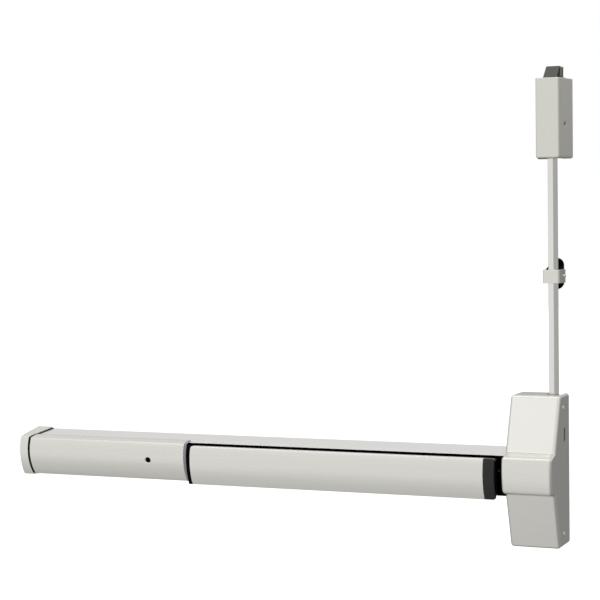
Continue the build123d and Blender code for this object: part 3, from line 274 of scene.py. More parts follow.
def paint_shade_inside(material):
    """Paints a metal black behind the rail's outer skin, off the door and between the two slopes, as painted
    shade in the channel.
    """
    tree = material.node_tree
    shader = next(node for node in tree.nodes if node.type == "BSDF_PRINCIPLED")
    outside = shader.inputs["Base Color"].links[0].from_socket
    place = add_node(tree, "ShaderNodeTexCoord").outputs["Object"]
    split = add_node(tree, "ShaderNodeSeparateXYZ", {"Vector": place})
    inside = add_node(tree, "ShaderNodeMath", {0: split.outputs["Y"], 1: -SKIN}, operation="LESS_THAN")
    walls = (
        (-TOP_SLOPE, "LESS_THAN", RAIL_HALF * MM - SKIN),
        (BOTTOM_SLOPE, "GREATER_THAN", -RAIL_HALF * MM + SKIN),
    )
    for slope, test, limit in walls:
        level = add_node(tree, "ShaderNodeMath", {
            0: split.outputs["Y"], 1: slope, 2: split.outputs["Z"],
        }, operation="MULTIPLY_ADD")
        within = add_node(tree, "ShaderNodeMath", {0: level.outputs["Value"], 1: limit}, operation=test)
        inside = add_node(tree, "ShaderNodeMath", {
            0: inside.outputs["Value"], 1: within.outputs["Value"],
        }, operation="MULTIPLY")
    # The black here is painted shade for the channel and the gap over the bar.
    shade_painted_colour = add_node(tree, "ShaderNodeMix", {
        "Factor": inside.outputs["Value"], 6: outside, 7: srgb(PAINTED_SHADE_BLACK),
    }, data_type="RGBA")
    tree.links.new(shade_painted_colour.outputs[2], shader.inputs["Base Color"])
    return material


rail_aluminium = paint_shade_inside(
    metal("rail_aluminium", "#dedddb", "#e3e2df", "#f7f6f3", 0.33, ALONG_X, 1.6 * MM, 0.012)
)
print(rail_aluminium.name, "made")

# %% [markdown]
# ## Finishes on the CAD nodes
# Every CAD node keeps its mesh and gets a finish through its material slots, by the slot that the record names.
# A few nodes differ from their slot's usual finish: the rod and the latch cover are brushed upwards, and the
# black pieces that lie in the gaps round the touch bar are duller.

# %%
FINISHES = {
    "satin_steel": satin_steel,
    "satin_aluminium": satin_aluminium,
    "cast_case": cast_case,
    "plain_steel": plain_steel,
    "zinc_steel": zinc_steel,
    "dark_bolt": dark_steel,
    "black_plastic": black_nylon,
    "black_rubber": black_rubber,
    "grey_plastic": grey_trim,
}
OWN_FINISHES = {
    "rail_channel": rail_aluminium,
    "vertical_rod": rod_steel,
    "latch_cover": upright_steel,
    "bar_carrier": inner_nylon,
    "bar_left_plug": inner_nylon,
    "rail_filler": inner_nylon,
    "guide_block": inner_nylon,
    "dogging_screw": black_oxide,
}
SLOTS = {entry["node"]: entry["material_slot"] for entry in frame["record"]["subparts"]}


def dress(node_name, finish):
    """Puts one finish on all of a node."""
    node = NODES[node_name]
    if not node.material_slots:
        node.data.materials.append(finish)
    for material_slot in node.material_slots:
        material_slot.material = finish


for node_name, slot_name in SLOTS.items():
    dress(node_name, OWN_FINISHES.get(node_name, FINISHES[slot_name]))
print(len(SLOTS), "nodes dressed")

# %% [markdown]
# ## Geometry Nodes: a tree and how it is run
# Pieces that repeat or follow a path are made by Geometry Nodes. A tree gets named inputs for its sizes. To
# run it, a modifier takes the values by each socket's identifier, the result becomes a plain mesh, and the
# modifier goes away. Smooth shading stops at edges sharper than 30 degrees.

# %%
SMOOTH_ANGLE = math.radians(30)


def new_tree(name, inputs):
    """A Geometry Nodes tree with a geometry input and output and the named inputs, and its input node."""
    tree = bpy.data.node_groups.new(name, "GeometryNodeTree")
    tree.interface.new_socket("Geometry", in_out="INPUT", socket_type="NodeSocketGeometry")
    for label, kind in inputs.items():
        tree.interface.new_socket(label, in_out="INPUT", socket_type="NodeSocket" + kind)
    tree.interface.new_socket("Material", in_out="INPUT", socket_type="NodeSocketMaterial")
    tree.interface.new_socket("Geometry", in_out="OUTPUT", socket_type="NodeSocketGeometry")
    return tree, tree.nodes.new("NodeGroupInput").outputs


def finish_tree(tree, given, geometry):
    """Ends a tree in Realize Instances and Set Material."""
    plain = add_node(tree, "GeometryNodeRealizeInstances", {"Geometry": geometry})
    painted = add_node(tree, "GeometryNodeSetMaterial", {
        "Geometry": plain.outputs["Geometry"], "Material": given["Material"],
    })
    add_node(tree, "NodeGroupOutput", {"Geometry": painted.outputs["Geometry"]})


def new_piece(name, mesh):
    """An object for a mesh, at the origin and linked to the scene."""
    piece = bpy.data.objects.new(name, mesh)
    bpy.context.scene.collection.objects.link(piece)
    return piece


def evaluated_mesh(piece):
    """A plain mesh of what the piece's modifiers make."""
    bpy.context.view_layer.update()
    graph = bpy.context.evaluated_depsgraph_get()
    return bpy.data.meshes.new_from_object(piece.evaluated_get(graph))


def smooth(mesh):
    """Smooth shading, with the sharp edges kept."""
    mesh.shade_smooth()
    mesh.set_sharp_from_angle(angle=SMOOTH_ANGLE)


def run_tree(name, tree, values, start=None):
    """A new piece made by the tree from its input values and, if given, a starting mesh."""
    piece = new_piece(name, start or bpy.data.meshes.new(name))
    modifier = piece.modifiers.new(tree.name, "NODES")
    modifier.node_group = tree
    for item in tree.interface.items_tree:
        if item.in_out == "INPUT" and item.name in values:
            modifier[item.identifier] = values[item.name]
    result = evaluated_mesh(piece)
    piece.modifiers.remove(modifier)
    result.name = name
    piece.data = result
    smooth(result)
    print(name, len(result.vertices), "points")
    return piece


def hand_over(piece, body, slot_name, *replaced):
    """Lets a finished piece ride on its body and hides the nodes it stands for; its slot name is not used."""
    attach(piece, body)
    if replaced:
        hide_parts(*replaced)


print("faces that meet at more than", round(math.degrees(SMOOTH_ANGLE)), "degrees keep a sharp edge")

# %% [markdown]
# ## Folded sheets: the touch bar and the rail cover
# Both are stainless sheet folded over a crowned front. A folded sheet is one section carried along the rail,
# so the section is drawn as points, each with its bend radius, and a tree fillets the bends and sweeps the
# section. The bend radii matter most: they catch the light as the thin bright lines along the bar. In the
# section x is the depth out from the door and y points down, which is how Curve to Mesh turns it to the rail.

# %%
def sheet_tree():
    """The tree that fillets a section and sweeps it along X from Start to End."""
    tree, given = new_tree("folded_sheet", {"Start": "Float", "End": "Float", "Bend Steps": "Int"})
    outline = add_node(tree, "GeometryNodeMeshToCurve", {"Mesh": given["Geometry"]})
    bend = add_node(tree, "GeometryNodeInputNamedAttribute", {"Name": "bend"}, data_type="FLOAT")
    section = add_node(tree, "GeometryNodeFilletCurve", {
        "Curve": outline.outputs["Curve"], "Count": given["Bend Steps"],
        "Radius": bend.outputs["Attribute"], "Limit Radius": True,
    }, mode="POLY")
    ends = [add_node(tree, "ShaderNodeCombineXYZ", {"X": given[label]}) for label in ("Start", "End")]
    run = add_node(tree, "GeometryNodeCurvePrimitiveLine", {
        "Start": ends[0].outputs["Vector"], "End": ends[1].outputs["Vector"],
    })
    sheet = add_node(tree, "GeometryNodeCurveToMesh", {
        "Curve": run.outputs["Curve"], "Profile Curve": section.outputs["Curve"], "Fill Caps": True,
    })
    finish_tree(tree, given, sheet.outputs["Mesh"])
    return tree


FOLDED_SHEET = sheet_tree()
BEND_STEPS = 5
CROWN_STEPS = 28


def arc_points(start, middle, end, steps):
    """Points between start and end, both left out, on the circle through the three points."""
    (ax, ay), (bx, by), (cx, cy) = start, middle, end
    d = 2 * (ax * (by - cy) + bx * (cy - ay) + cx * (ay - by))
    a2, b2, c2 = ax * ax + ay * ay, bx * bx + by * by, cx * cx + cy * cy
    ux = (a2 * (by - cy) + b2 * (cy - ay) + c2 * (ay - by)) / d
    uy = (a2 * (cx - bx) + b2 * (ax - cx) + c2 * (bx - ax)) / d
    radius = math.dist(start, (ux, uy))
    first = math.atan2(ay - uy, ax - ux)
    last = math.atan2(cy - uy, cx - ux)
    return [
        (ux + radius * math.cos(first + (last - first) * i / steps),
         uy + radius * math.sin(first + (last - first) * i / steps))
        for i in range(1, steps)
    ]


def crowned(top, bottom, crown):
    """The points of a crowned front between two corners. crown is how far its middle stands out."""
    middle = ((top[0] + bottom[0]) / 2 + crown, (top[1] + bottom[1]) / 2)
    return [(*point, 0.0) for point in arc_points(top, middle, bottom, CROWN_STEPS)]


def section_mesh(name, corners):
    """A closed outline from (depth, height, bend radius) in millimetres."""
    mesh = bpy.data.meshes.new(name)
    points = [(depth * MM, -height * MM, 0) for depth, height, _ in corners]
    mesh.from_pydata(points, [(i, (i + 1) % len(points)) for i in range(len(points))], [])
    bends = mesh.attributes.new("bend", "FLOAT", "POINT")
    bends.data.foreach_set("value", [radius * MM for _, _, radius in corners])
    return mesh


def folded_sheet(name, corners, left, right):
    """A satin steel sheet with the section of the corners, from left to right in millimetres."""
    return run_tree(name, FOLDED_SHEET, {
        "Start": left * MM, "End": right * MM, "Bend Steps": BEND_STEPS, "Material": satin_steel,
    }, section_mesh(name + "_section", corners))


print("the sheet tree takes", len(FOLDED_SHEET.interface.items_tree) - 1, "inputs")

# %% [markdown]
# ## The touch bar
# The touch bar's section has a lip on top with a fine groove, a 54 mm tall crowned face and a skirt below,
# in 1.5 mm sheet. Its left end has small rounded corners, made by moving the end's points along the bar.

# %%
BAR_LEFT, BAR_RIGHT = -491.5, -65.5
BAR_TOP, BAR_BOTTOM = 22.7, -31.7
BAR_SHEET = 1.5
BAR_CROWN = 5.55
BAR_CORNER = 3.0
LIP_BACK, SKIRT_BACK = 57.0, 48.0
BAR_FACE_TOP, BAR_FACE_BOTTOM = 64.0, 58.5
GROOVE_BACK, GROOVE_FRONT, GROOVE_SINK = 60.2, 61.1, 0.7
BAR_OUTER_BEND, BAR_INNER_BEND = 1.8, 0.4
CUT_EDGE, GROOVE_EDGE = 0.2, 0.1
AT_END = 0.01  # millimetres within which a point counts as on an end


def bar_corners():
    """The touch bar's section, round its outside from the lip to the skirt and back along its inside."""
    outer_top, outer_bottom = (BAR_FACE_TOP, BAR_TOP), (BAR_FACE_BOTTOM, BAR_BOTTOM)
    inner_top = (outer_top[0] - BAR_SHEET, BAR_TOP - BAR_SHEET)
    inner_bottom = (outer_bottom[0] - BAR_SHEET, BAR_BOTTOM + BAR_SHEET)
    groove_floor = BAR_TOP - GROOVE_SINK
    return [
        (LIP_BACK, BAR_TOP, CUT_EDGE),
        (GROOVE_BACK, BAR_TOP, GROOVE_EDGE), (GROOVE_BACK, groove_floor, 0.0),
        (GROOVE_FRONT, groove_floor, 0.0), (GROOVE_FRONT, BAR_TOP, GROOVE_EDGE),
        (*outer_top, BAR_OUTER_BEND), *crowned(outer_top, outer_bottom, BAR_CROWN),
        (*outer_bottom, BAR_OUTER_BEND),
        (SKIRT_BACK, BAR_BOTTOM, CUT_EDGE), (SKIRT_BACK, inner_bottom[1], CUT_EDGE),
        (*inner_bottom, BAR_INNER_BEND), *reversed(crowned(inner_top, inner_bottom, BAR_CROWN)),
        (*inner_top, BAR_INNER_BEND), (LIP_BACK, inner_top[1], CUT_EDGE),
    ]


def round_bar_end(mesh):
    """Rounds the two corners of the bar's left end, as seen from the front."""
    for vertex in mesh.vertices:
        height = vertex.co.z / MM
        inside = min(BAR_TOP - height, height - BAR_BOTTOM)
        if abs(vertex.co.x / MM - BAR_LEFT) < AT_END and inside < BAR_CORNER:
            reach = BAR_CORNER - inside
            vertex.co.x += (BAR_CORNER - math.sqrt(max(BAR_CORNER**2 - reach**2, 0.0))) * MM


touch_bar = folded_sheet("touch_bar_sheet", bar_corners(), BAR_LEFT, BAR_RIGHT)
round_bar_end(touch_bar.data)
hand_over(touch_bar, "bar", "satin_steel", "touch_bar")

# %% [markdown]
# ## The rail cover
# The rail cover's section is folded over the rail's edge. Its outer end is cut on the same slant as the end
# cap, with the gasket between them, so the points of that end are sheared. The key hole of the dogging screw
# has a shallow countersink, and both are cut with a Boolean modifier whose result is kept.

# %%
RAIL_LEFT, COVER_RIGHT = -753.0, -510.0
COVER_SHEET = 1.2
COVER_CROWN = 6.5
COVER_BACK, COVER_FOLD, COVER_FOOT = 33.0, 40.0, 39.0
COVER_FACE_TOP = (47.0, 23.0)
COVER_OUTER_BEND, COVER_INNER_BEND = 1.6, 0.3
FOLD_OUTER_BEND, FOLD_INNER_BEND = 4.0, 3.0
GASKET = 2.6
END_SLANT = 0.24


def rail_top(depth):
    """The height of the rail's top at a depth out from the door."""
    return RAIL_HALF - TOP_SLOPE * depth


def rail_bottom(depth):
    """The height of the rail's bottom at a depth out from the door."""
    return -RAIL_HALF + BOTTOM_SLOPE * depth


def cover_corners():
    """The rail cover's section, round its outside from the top and back along its inside."""
    outer_top = COVER_FACE_TOP
    outer_bottom = (COVER_FOOT, rail_bottom(COVER_FOOT) - COVER_SHEET)
    inner_top = (outer_top[0] - COVER_SHEET, outer_top[1] - COVER_SHEET)
    inner_bottom = (COVER_FOOT - COVER_SHEET, rail_bottom(COVER_FOOT - COVER_SHEET))
    return [
        (COVER_BACK, rail_top(COVER_BACK) + COVER_SHEET, CUT_EDGE),
        (COVER_FOLD, rail_top(COVER_FOLD) + COVER_SHEET, FOLD_OUTER_BEND),
        (*outer_top, COVER_OUTER_BEND), *crowned(outer_top, outer_bottom, COVER_CROWN),
        (*outer_bottom, COVER_OUTER_BEND),
        (COVER_BACK, rail_bottom(COVER_BACK) - COVER_SHEET, CUT_EDGE),
        (COVER_BACK, rail_bottom(COVER_BACK), CUT_EDGE),
        (*inner_bottom, COVER_INNER_BEND), *reversed(crowned(inner_top, inner_bottom, COVER_CROWN)),
        (*inner_top, COVER_INNER_BEND), (COVER_FOLD, rail_top(COVER_FOLD), FOLD_INNER_BEND),
        (COVER_BACK, rail_top(COVER_BACK), CUT_EDGE),
    ]


def slant_cover_end(mesh):
    """Moves the points of the cover's left end onto the slant of the end cap."""
    for vertex in mesh.vertices:
        if vertex.co.x / MM < RAIL_LEFT + AT_END:
            vertex.co.x = (RAIL_LEFT + GASKET) * MM + END_SLANT * vertex.co.y


rail_cover = folded_sheet("rail_cover_sheet", cover_corners(), RAIL_LEFT, COVER_RIGHT)
slant_cover_end(rail_cover.data)

# %% [markdown]
# The cutter of the key hole is turned like a lathe piece: a plug of the hole's radius with a wider step where
# the countersink starts, just under the cover's face. It is turned about Z and then laid down into the depth.

# %%
DOG_X, DOG_Z = -567.0, -2.6
KEY_RADIUS, SINK_RADIUS = 3.1, 4.8
KEY_START, SINK_FLOOR, SINK_TOP, KEY_END = 30.0, 48.2, 49.2, 60.0  # depths out from the door
KEY_STEPS = 40
MERGE_DISTANCE = 0.001 * MM


def lathe(name, outline, steps):
    """A closed turned mesh about Z from (radius, height) points in millimetres, first and last on the axis."""
    mesh = bpy.data.meshes.new(name)
    shape = bmesh.new()
    chain = [shape.verts.new((radius * MM, 0, height * MM)) for radius, height in outline]
    edges = [shape.edges.new(pair) for pair in zip(chain, chain[1:])]
    bmesh.ops.spin(shape, geom=chain + edges, cent=(0, 0, 0), axis=(0, 0, 1), angle=math.tau, steps=steps)
    bmesh.ops.remove_doubles(shape, verts=shape.verts, dist=MERGE_DISTANCE)
    bmesh.ops.recalc_face_normals(shape, faces=shape.faces)
    shape.to_mesh(mesh)
    shape.free()
    return mesh


def cut(piece, cutter_mesh):
    """Cuts the cutter's shape out of a piece for good."""
    cutter = new_piece("cutter", cutter_mesh)
    modifier = piece.modifiers.new("cut", "BOOLEAN")
    modifier.operation = "DIFFERENCE"
    modifier.solver = "EXACT"
    modifier.object = cutter
    result = evaluated_mesh(piece)
    piece.modifiers.remove(modifier)
    bpy.data.objects.remove(cutter)
    piece.data = result
    smooth(result)


key_hole = lathe("key_hole", [
    (0, KEY_START), (KEY_RADIUS, KEY_START), (KEY_RADIUS, SINK_FLOOR),
    (SINK_RADIUS, SINK_TOP), (SINK_RADIUS, KEY_END), (0, KEY_END),
], KEY_STEPS)
key_hole.transform(Matrix.Translation((DOG_X * MM, 0, DOG_Z * MM)) @ Matrix.Rotation(math.pi / 2, 4, "X"))
cut(rail_cover, key_hole)
hand_over(rail_cover, "frame", "satin_steel", "rail_cover")
print("rail cover with its key hole:", len(rail_cover.data.vertices), "points")

# %% [markdown]
# ## Screws
# Ten pan head screws hold the end cap, the case cover, the strap and the latch cover. They differ only in
# size, so one screw is turned as a lathe shape with a cross recess cut in its head, and a tree puts it at
# each seat, aims it outwards and turns it by a random but fixed angle, as screws end up when driven home.
# The screw's head has a radius and a height of 1 mm, so a scale given in millimetres is the head's size.

# %%
SCREW_STEPS = 28
DOME_STEPS = 7
SHANK = [(0, -4.0), (0.36, -3.9), (0.42, -3.6), (0.42, 0)]
RECESS_LENGTH, RECESS_WIDTH, RECESS_HEIGHT, RECESS_MIDDLE = 1.15, 0.2, 1.2, 1.05
RECESS_TAPER = 0.72


def screw_mesh():
    """A screw with its seat at Z 0, its domed head above and its shank below."""
    angles = [step * math.pi / (2 * DOME_STEPS) for step in range(1, DOME_STEPS)]
    dome = [(math.cos(angle), math.sin(angle)) for angle in angles]
    piece = new_piece("screw", lathe("screw", [*SHANK, (1.0, 0), *dome, (0, 1.0)], SCREW_STEPS))
    for turn in (0, math.pi / 2):
        arm = bpy.data.meshes.new("recess_arm")
        shape = bmesh.new()
        bmesh.ops.create_cube(shape, size=1.0)
        for vertex in shape.verts:
            taper = RECESS_TAPER if vertex.co.z < 0 else 1.0
            vertex.co = Vector((
                vertex.co.x * RECESS_LENGTH * taper,
                vertex.co.y * RECESS_WIDTH,
                vertex.co.z * RECESS_HEIGHT + RECESS_MIDDLE,
            )) * MM
        shape.transform(Matrix.Rotation(turn, 4, "Z"))
        shape.to_mesh(arm)
        shape.free()
        cut(piece, arm)
    return piece


pan_screw = screw_mesh()
print("one screw has", len(pan_screw.data.vertices), "points")

# %% [markdown]
# The tree reads the seats from a mesh of loose points, each with the direction in which its screw looks. The
# seats come in four groups, one for each CAD node of screws. The two in the latch cover are small and dark.

# %%
ROD_X, ROD_DEPTH = 18.5, 20.0
LATCH_X = 16.5
SCREWS = {  # slot, head radius, head height and seats as (x, depth, z, outward direction)
    "end_cap_screws": ("zinc_steel", 3.6, 2.0, [(-779.0, 20.0, z, -1) for z in (18.0, -18.0)]),
    "case_cover_screws": ("zinc_steel", 3.2, 1.4, [
        (33.0 * side, 29.0, z, side) for side in (1, -1) for z in (88.0, -77.0)
    ]),
    "guide_screws": ("zinc_steel", 3.0, 4.1, [(ROD_X + 9.5 * side, 7.0, 259.0, side) for side in (1, -1)]),
    "latch_cover_screws": ("dark_bolt", 2.4, 0.8, [
        (LATCH_X + 17.9 * side, 21.0, 456.0, side) for side in (1, -1)
    ]),
}


def screws_tree(screw):
    """The tree that puts a copy of the screw on each seat."""
    tree, given = new_tree("driven_screws", {"Head Size": "Vector", "Seed": "Int"})
    shape = add_node(tree, "GeometryNodeObjectInfo", {"Object": screw})
    outward = add_node(tree, "GeometryNodeInputNamedAttribute", {"Name": "outward"}, data_type="FLOAT_VECTOR")
    aim = add_node(tree, "FunctionNodeAlignRotationToVector", {
        "Vector": outward.outputs["Attribute"],
    }, axis="Z")
    angle = add_node(tree, "FunctionNodeRandomValue", {3: math.tau, "Seed": given["Seed"]}, data_type="FLOAT")
    spin = add_node(tree, "FunctionNodeAxisAngleToRotation", {"Axis": (0, 0, 1), "Angle": angle.outputs[1]})
    turned = add_node(tree, "FunctionNodeRotateRotation", {
        0: aim.outputs["Rotation"], 1: spin.outputs["Rotation"],
    }, rotation_space="LOCAL")
    placed = add_node(tree, "GeometryNodeInstanceOnPoints", {
        "Points": given["Geometry"], "Instance": shape.outputs["Geometry"],
        "Rotation": turned.outputs["Rotation"], "Scale": given["Head Size"],
    })
    finish_tree(tree, given, placed.outputs["Instances"])
    return tree


def seats_mesh(name, seats):
    """Points at the screw seats, from (x, depth, z, outward direction) in millimetres."""
    mesh = bpy.data.meshes.new(name)
    mesh.from_pydata([(x * MM, -depth * MM, z * MM) for x, depth, z, _ in seats], [], [])
    outward = mesh.attributes.new("outward", "FLOAT_VECTOR", "POINT")
    outward.data.foreach_set("vector", [n for *_, side in seats for n in (side, 0.0, 0.0)])
    return mesh


DRIVEN_SCREWS = screws_tree(pan_screw)
for seed, (node_name, (slot_name, radius, height, seats)) in enumerate(SCREWS.items()):
    made = run_tree(node_name + "_driven", DRIVEN_SCREWS, {
        "Head Size": (radius, radius, height), "Seed": seed, "Material": FINISHES[slot_name],
    }, seats_mesh(node_name, seats))
    hand_over(made, "frame", slot_name, node_name)
bpy.data.objects.remove(pan_screw)

# %% [markdown]
# ## Springs and threads
# A wound spring and a screw thread are both a section that follows a helix, so one function builds both
# trees. The tree of the thread also has the core that the thread stands on.

# %%
TURN_STEPS = 20
CORE_STEPS = 24


def helix_tree(name, with_core):
    """A round or ridged section that climbs a helix along Z, for a thread with its core inside."""
    tree, given = new_tree(name, {
        "Helix Radius": "Float", "Length": "Float", "Turns": "Float", "Section Radius": "Float",
        "Section Sides": "Int", "Core Radius": "Float",
    })
    path = add_node(tree, "GeometryNodeCurveSpiral", {
        "Resolution": TURN_STEPS, "Rotations": given["Turns"], "Start Radius": given["Helix Radius"],
        "End Radius": given["Helix Radius"], "Height": given["Length"],
    })
    section = add_node(tree, "GeometryNodeCurvePrimitiveCircle", {
        "Resolution": given["Section Sides"], "Radius": given["Section Radius"],
    })
    wire = add_node(tree, "GeometryNodeCurveToMesh", {
        "Curve": path.outputs["Curve"], "Profile Curve": section.outputs["Curve"], "Fill Caps": True,
    })
    geometry = wire.outputs["Mesh"]
    if with_core:
        core = add_node(tree, "GeometryNodeMeshCylinder", {
            "Vertices": CORE_STEPS, "Radius": given["Core Radius"], "Depth": given["Length"],
        })
        half = add_node(tree, "ShaderNodeMath", {0: given["Length"], 1: 0.5}, operation="MULTIPLY")
        lift = add_node(tree, "ShaderNodeCombineXYZ", {"Z": half.outputs["Value"]})
        raised = add_node(tree, "GeometryNodeTransform", {
            "Geometry": core.outputs["Mesh"], "Translation": lift.outputs["Vector"],
        })
        joined = add_node(tree, "GeometryNodeJoinGeometry")
        for part in (raised.outputs["Geometry"], geometry):
            tree.links.new(part, joined.inputs["Geometry"])
        geometry = joined.outputs["Geometry"]
    finish_tree(tree, given, geometry)
    return tree


WOUND_WIRE = helix_tree("wound_wire", False)
SCREW_THREAD = helix_tree("screw_thread", True)
print("helix trees made")

# %% [markdown]
# The two springs are round wire of 1.4 mm. Each rides on the body that its moving end belongs to.

# %%
WIRE_RADIUS = 0.7
WIRE_SIDES = 8


def spring(name, body, start, axis, coil, turns, length):
    """A round wire spring from start along axis, in millimetres."""
    made = run_tree(name, WOUND_WIRE, {
        "Helix Radius": coil * MM, "Length": (length - 2 * WIRE_RADIUS) * MM, "Turns": turns,
        "Section Radius": WIRE_RADIUS * MM, "Section Sides": WIRE_SIDES, "Material": zinc_steel,
    })
    place = Vector(start) * MM + Vector(axis) * WIRE_RADIUS * MM
    made.data.transform(Matrix.Translation(place) @ Vector(axis).to_track_quat("Z", "Y").to_matrix().to_4x4())
    hand_over(made, body, "zinc_steel", name.removesuffix("_wire"))
    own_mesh(made)


spring(
    "return_spring_wire", "draw", start=(-338.0, -10.0, 8.0), axis=(1, 0, 0),
    coil=4.0, turns=9, length=38.0,
)
spring(
    "bolt_spring_wire", "rod", start=(ROD_X, -ROD_DEPTH, 446.0), axis=(0, 0, 1),
    coil=6.0, turns=7, length=32.0,
)

# %% [markdown]
# The two studs carry a thread of 1.25 mm pitch, as an M8 screw has. The thread is a square section on a core
# of 3.5 mm radius, and its crests reach 0.5 mm further, to the stud's own radius of 4 mm. It starts and ends
# half a millimetre inside the stud's ends, where a real stud has its chamfers.

# %%
PITCH = 1.25
CORE_RADIUS, THREAD_DEPTH = 3.5, 0.5
CHAMFER = 0.5
STUDS = {"adjusting_stud": (47.0, 106.0), "bolt_stud": (422.0, 491.0)}
for node_name, (low, high) in STUDS.items():
    length = high - low - 2 * CHAMFER
    stud = run_tree(node_name + "_thread", SCREW_THREAD, {
        "Helix Radius": CORE_RADIUS * MM, "Length": length * MM, "Turns": length / PITCH,
        "Section Radius": THREAD_DEPTH * MM, "Section Sides": 4, "Core Radius": CORE_RADIUS * MM,
        "Material": zinc_steel,
    })
    stud.data.transform(Matrix.Translation((ROD_X * MM, -ROD_DEPTH * MM, (low + CHAMFER) * MM)))
    hand_over(stud, "rod", "zinc_steel", node_name)

# %% [markdown]
# ## The oval on the case's side
# The case has a shallow oval recess on its right side with a plain dark inlay. It is an outline with half
# round ends, pushed out into a plate 1 mm thick that sits in the recess with 0.2 mm all round.

# %%
OVAL_STEPS = 32
INLAY_PLACE = (31.9, 24.0, 53.0)  # x of its back, depth and height of its middle
INLAY_WIDTH, INLAY_HEIGHT, INLAY_THICKNESS = 7.6, 19.6, 1.0


def oval_plate(name, finish):
    """The inlay: the two half circles of its rim are one circle whose halves are moved apart."""
    x, depth, z = INLAY_PLACE
    mesh = bpy.data.meshes.new(name)
    shape = bmesh.new()
    radius = INLAY_WIDTH / 2
    straight = INLAY_HEIGHT / 2 - radius
    rim = []
    for step in range(OVAL_STEPS):
        angle = math.tau * (step + 0.5) / OVAL_STEPS
        lift = straight if math.sin(angle) > 0 else -straight
        rim.append(shape.verts.new((
            x * MM, (-depth + radius * math.cos(angle)) * MM, (z + lift + radius * math.sin(angle)) * MM,
        )))
    face = shape.faces.new(rim)
    raised = bmesh.ops.extrude_face_region(shape, geom=[face])
    tops = [item for item in raised["geom"] if isinstance(item, bmesh.types.BMVert)]
    bmesh.ops.translate(shape, verts=tops, vec=(INLAY_THICKNESS * MM, 0, 0))
    bmesh.ops.recalc_face_normals(shape, faces=shape.faces)
    shape.to_mesh(mesh)
    shape.free()
    mesh.materials.append(finish)
    smooth(mesh)
    return new_piece(name, mesh)


case_inlay = oval_plate("case_side_inlay", dark_steel)
hand_over(case_inlay, "frame", "dark_bolt")
print(case_inlay.name, len(case_inlay.data.vertices), "points")

# %% [markdown]
# ## Camera at the photograph's viewing angle
# The device is seen from the right and a little above, through a long lens. The camera's axes are written
# out from three angles, and no lens shift is needed.

# %%
CAMERA_PLACE = Vector((0.5857, -2.2036, 0.3319))
CAMERA_YAW = math.radians(22.98)
CAMERA_PITCH = math.radians(2.55)
CAMERA_ROLL = math.radians(-0.77)
CAMERA_LENS = 102.88
SENSOR_WIDTH = 36.0
CLIP_START, CLIP_END = 0.05, 50.0


def add_camera():
    """The camera, looking along its own minus Z, with its X to the right and its Y up."""
    forward = Vector((
        -math.sin(CAMERA_YAW) * math.cos(CAMERA_PITCH),
        math.cos(CAMERA_YAW) * math.cos(CAMERA_PITCH),
        -math.sin(CAMERA_PITCH),
    ))
    level_right = Vector((math.cos(CAMERA_YAW), math.sin(CAMERA_YAW), 0.0))
    level_up = level_right.cross(forward)
    right = level_right * math.cos(CAMERA_ROLL) + level_up * math.sin(CAMERA_ROLL)
    up = level_up * math.cos(CAMERA_ROLL) - level_right * math.sin(CAMERA_ROLL)
    axes = Matrix((right, up, -forward)).transposed()
    data = bpy.data.cameras.new("camera")
    data.lens = CAMERA_LENS
    data.sensor_width = SENSOR_WIDTH
    data.sensor_fit = "HORIZONTAL"
    data.clip_start, data.clip_end = CLIP_START, CLIP_END
    camera = bpy.data.objects.new("camera", data)
    camera.matrix_world = Matrix.Translation(CAMERA_PLACE) @ axes.to_4x4()
    bpy.context.scene.collection.objects.link(camera)
    bpy.context.scene.camera = camera


add_camera()
print("camera", round(CAMERA_PLACE.length, 2), "m from the case, with a", CAMERA_LENS, "mm lens")

# %% [markdown]
# ## What the metal mirrors
# Satin metal shows its surroundings, so most of the look is decided here. A photographer sets white and grey
# cards round such a piece. Here each card is a level of grey at an angle seen from above: 0 is in front of
# the device, 90 to its right, -90 to its left and 180 behind it. The fronts mirror the white at -23, the
# right side of the latch the grey at 125, the right side of the case the dark at 157, and the edges that
# turn away the dark at -157. The camera's own rays see none of this: for them all is white.

# %%
CARDS = [  # angle in degrees, level
    (-180, 0.24), (-157, 0.2), (-122, 0.2), (-100, 0.6), (-75, 1.0), (-20, 1.0), (10, 0.9),
    (37, 0.7), (97, 0.42), (125, 0.5), (157, 0.29), (180, 0.24),
]


def ray_kinds(tree):
    """1 for the camera's own rays, and 1 for rays reflected by gloss or passed by glass."""
    path = add_node(tree, "ShaderNodeLightPath")
    gloss = add_node(tree, "ShaderNodeMath", {
        0: path.outputs["Is Glossy Ray"], 1: path.outputs["Is Transmission Ray"],
    }, operation="MAXIMUM")
    return path.outputs["Is Camera Ray"], gloss.outputs["Value"]


def card_level(tree, split):
    """How bright the cards are on the side that a direction, or a place on the floor, lies on."""
    toward = add_node(tree, "ShaderNodeMath", {0: split.outputs["Y"], 1: -1.0}, operation="MULTIPLY")
    turn = add_node(tree, "ShaderNodeMath", {
        0: split.outputs["X"], 1: toward.outputs["Value"],
    }, operation="ARCTAN2")
    around = remap(tree, turn.outputs["Value"], -math.pi, math.pi, 0.0, 1.0)
    cards = add_node(tree, "ShaderNodeValToRGB", {"Fac": around})
    for _ in CARDS[2:]:
        cards.color_ramp.elements.new(0.5)
    for element, (degrees, level) in zip(cards.color_ramp.elements, CARDS):
        element.position = degrees / 360 + 0.5
        element.color = (level, level, level, 1.0)
    return cards.outputs["Color"]


print(len(CARDS), "cards round the device")

# %% [markdown]
# ## Floor
# The floor is a pale plane well below the device, lifted to white for the camera by a glow. In the metal it
# shows the same cards as the room, a little darker near the door, which gives the surfaces that look down
# their shade.

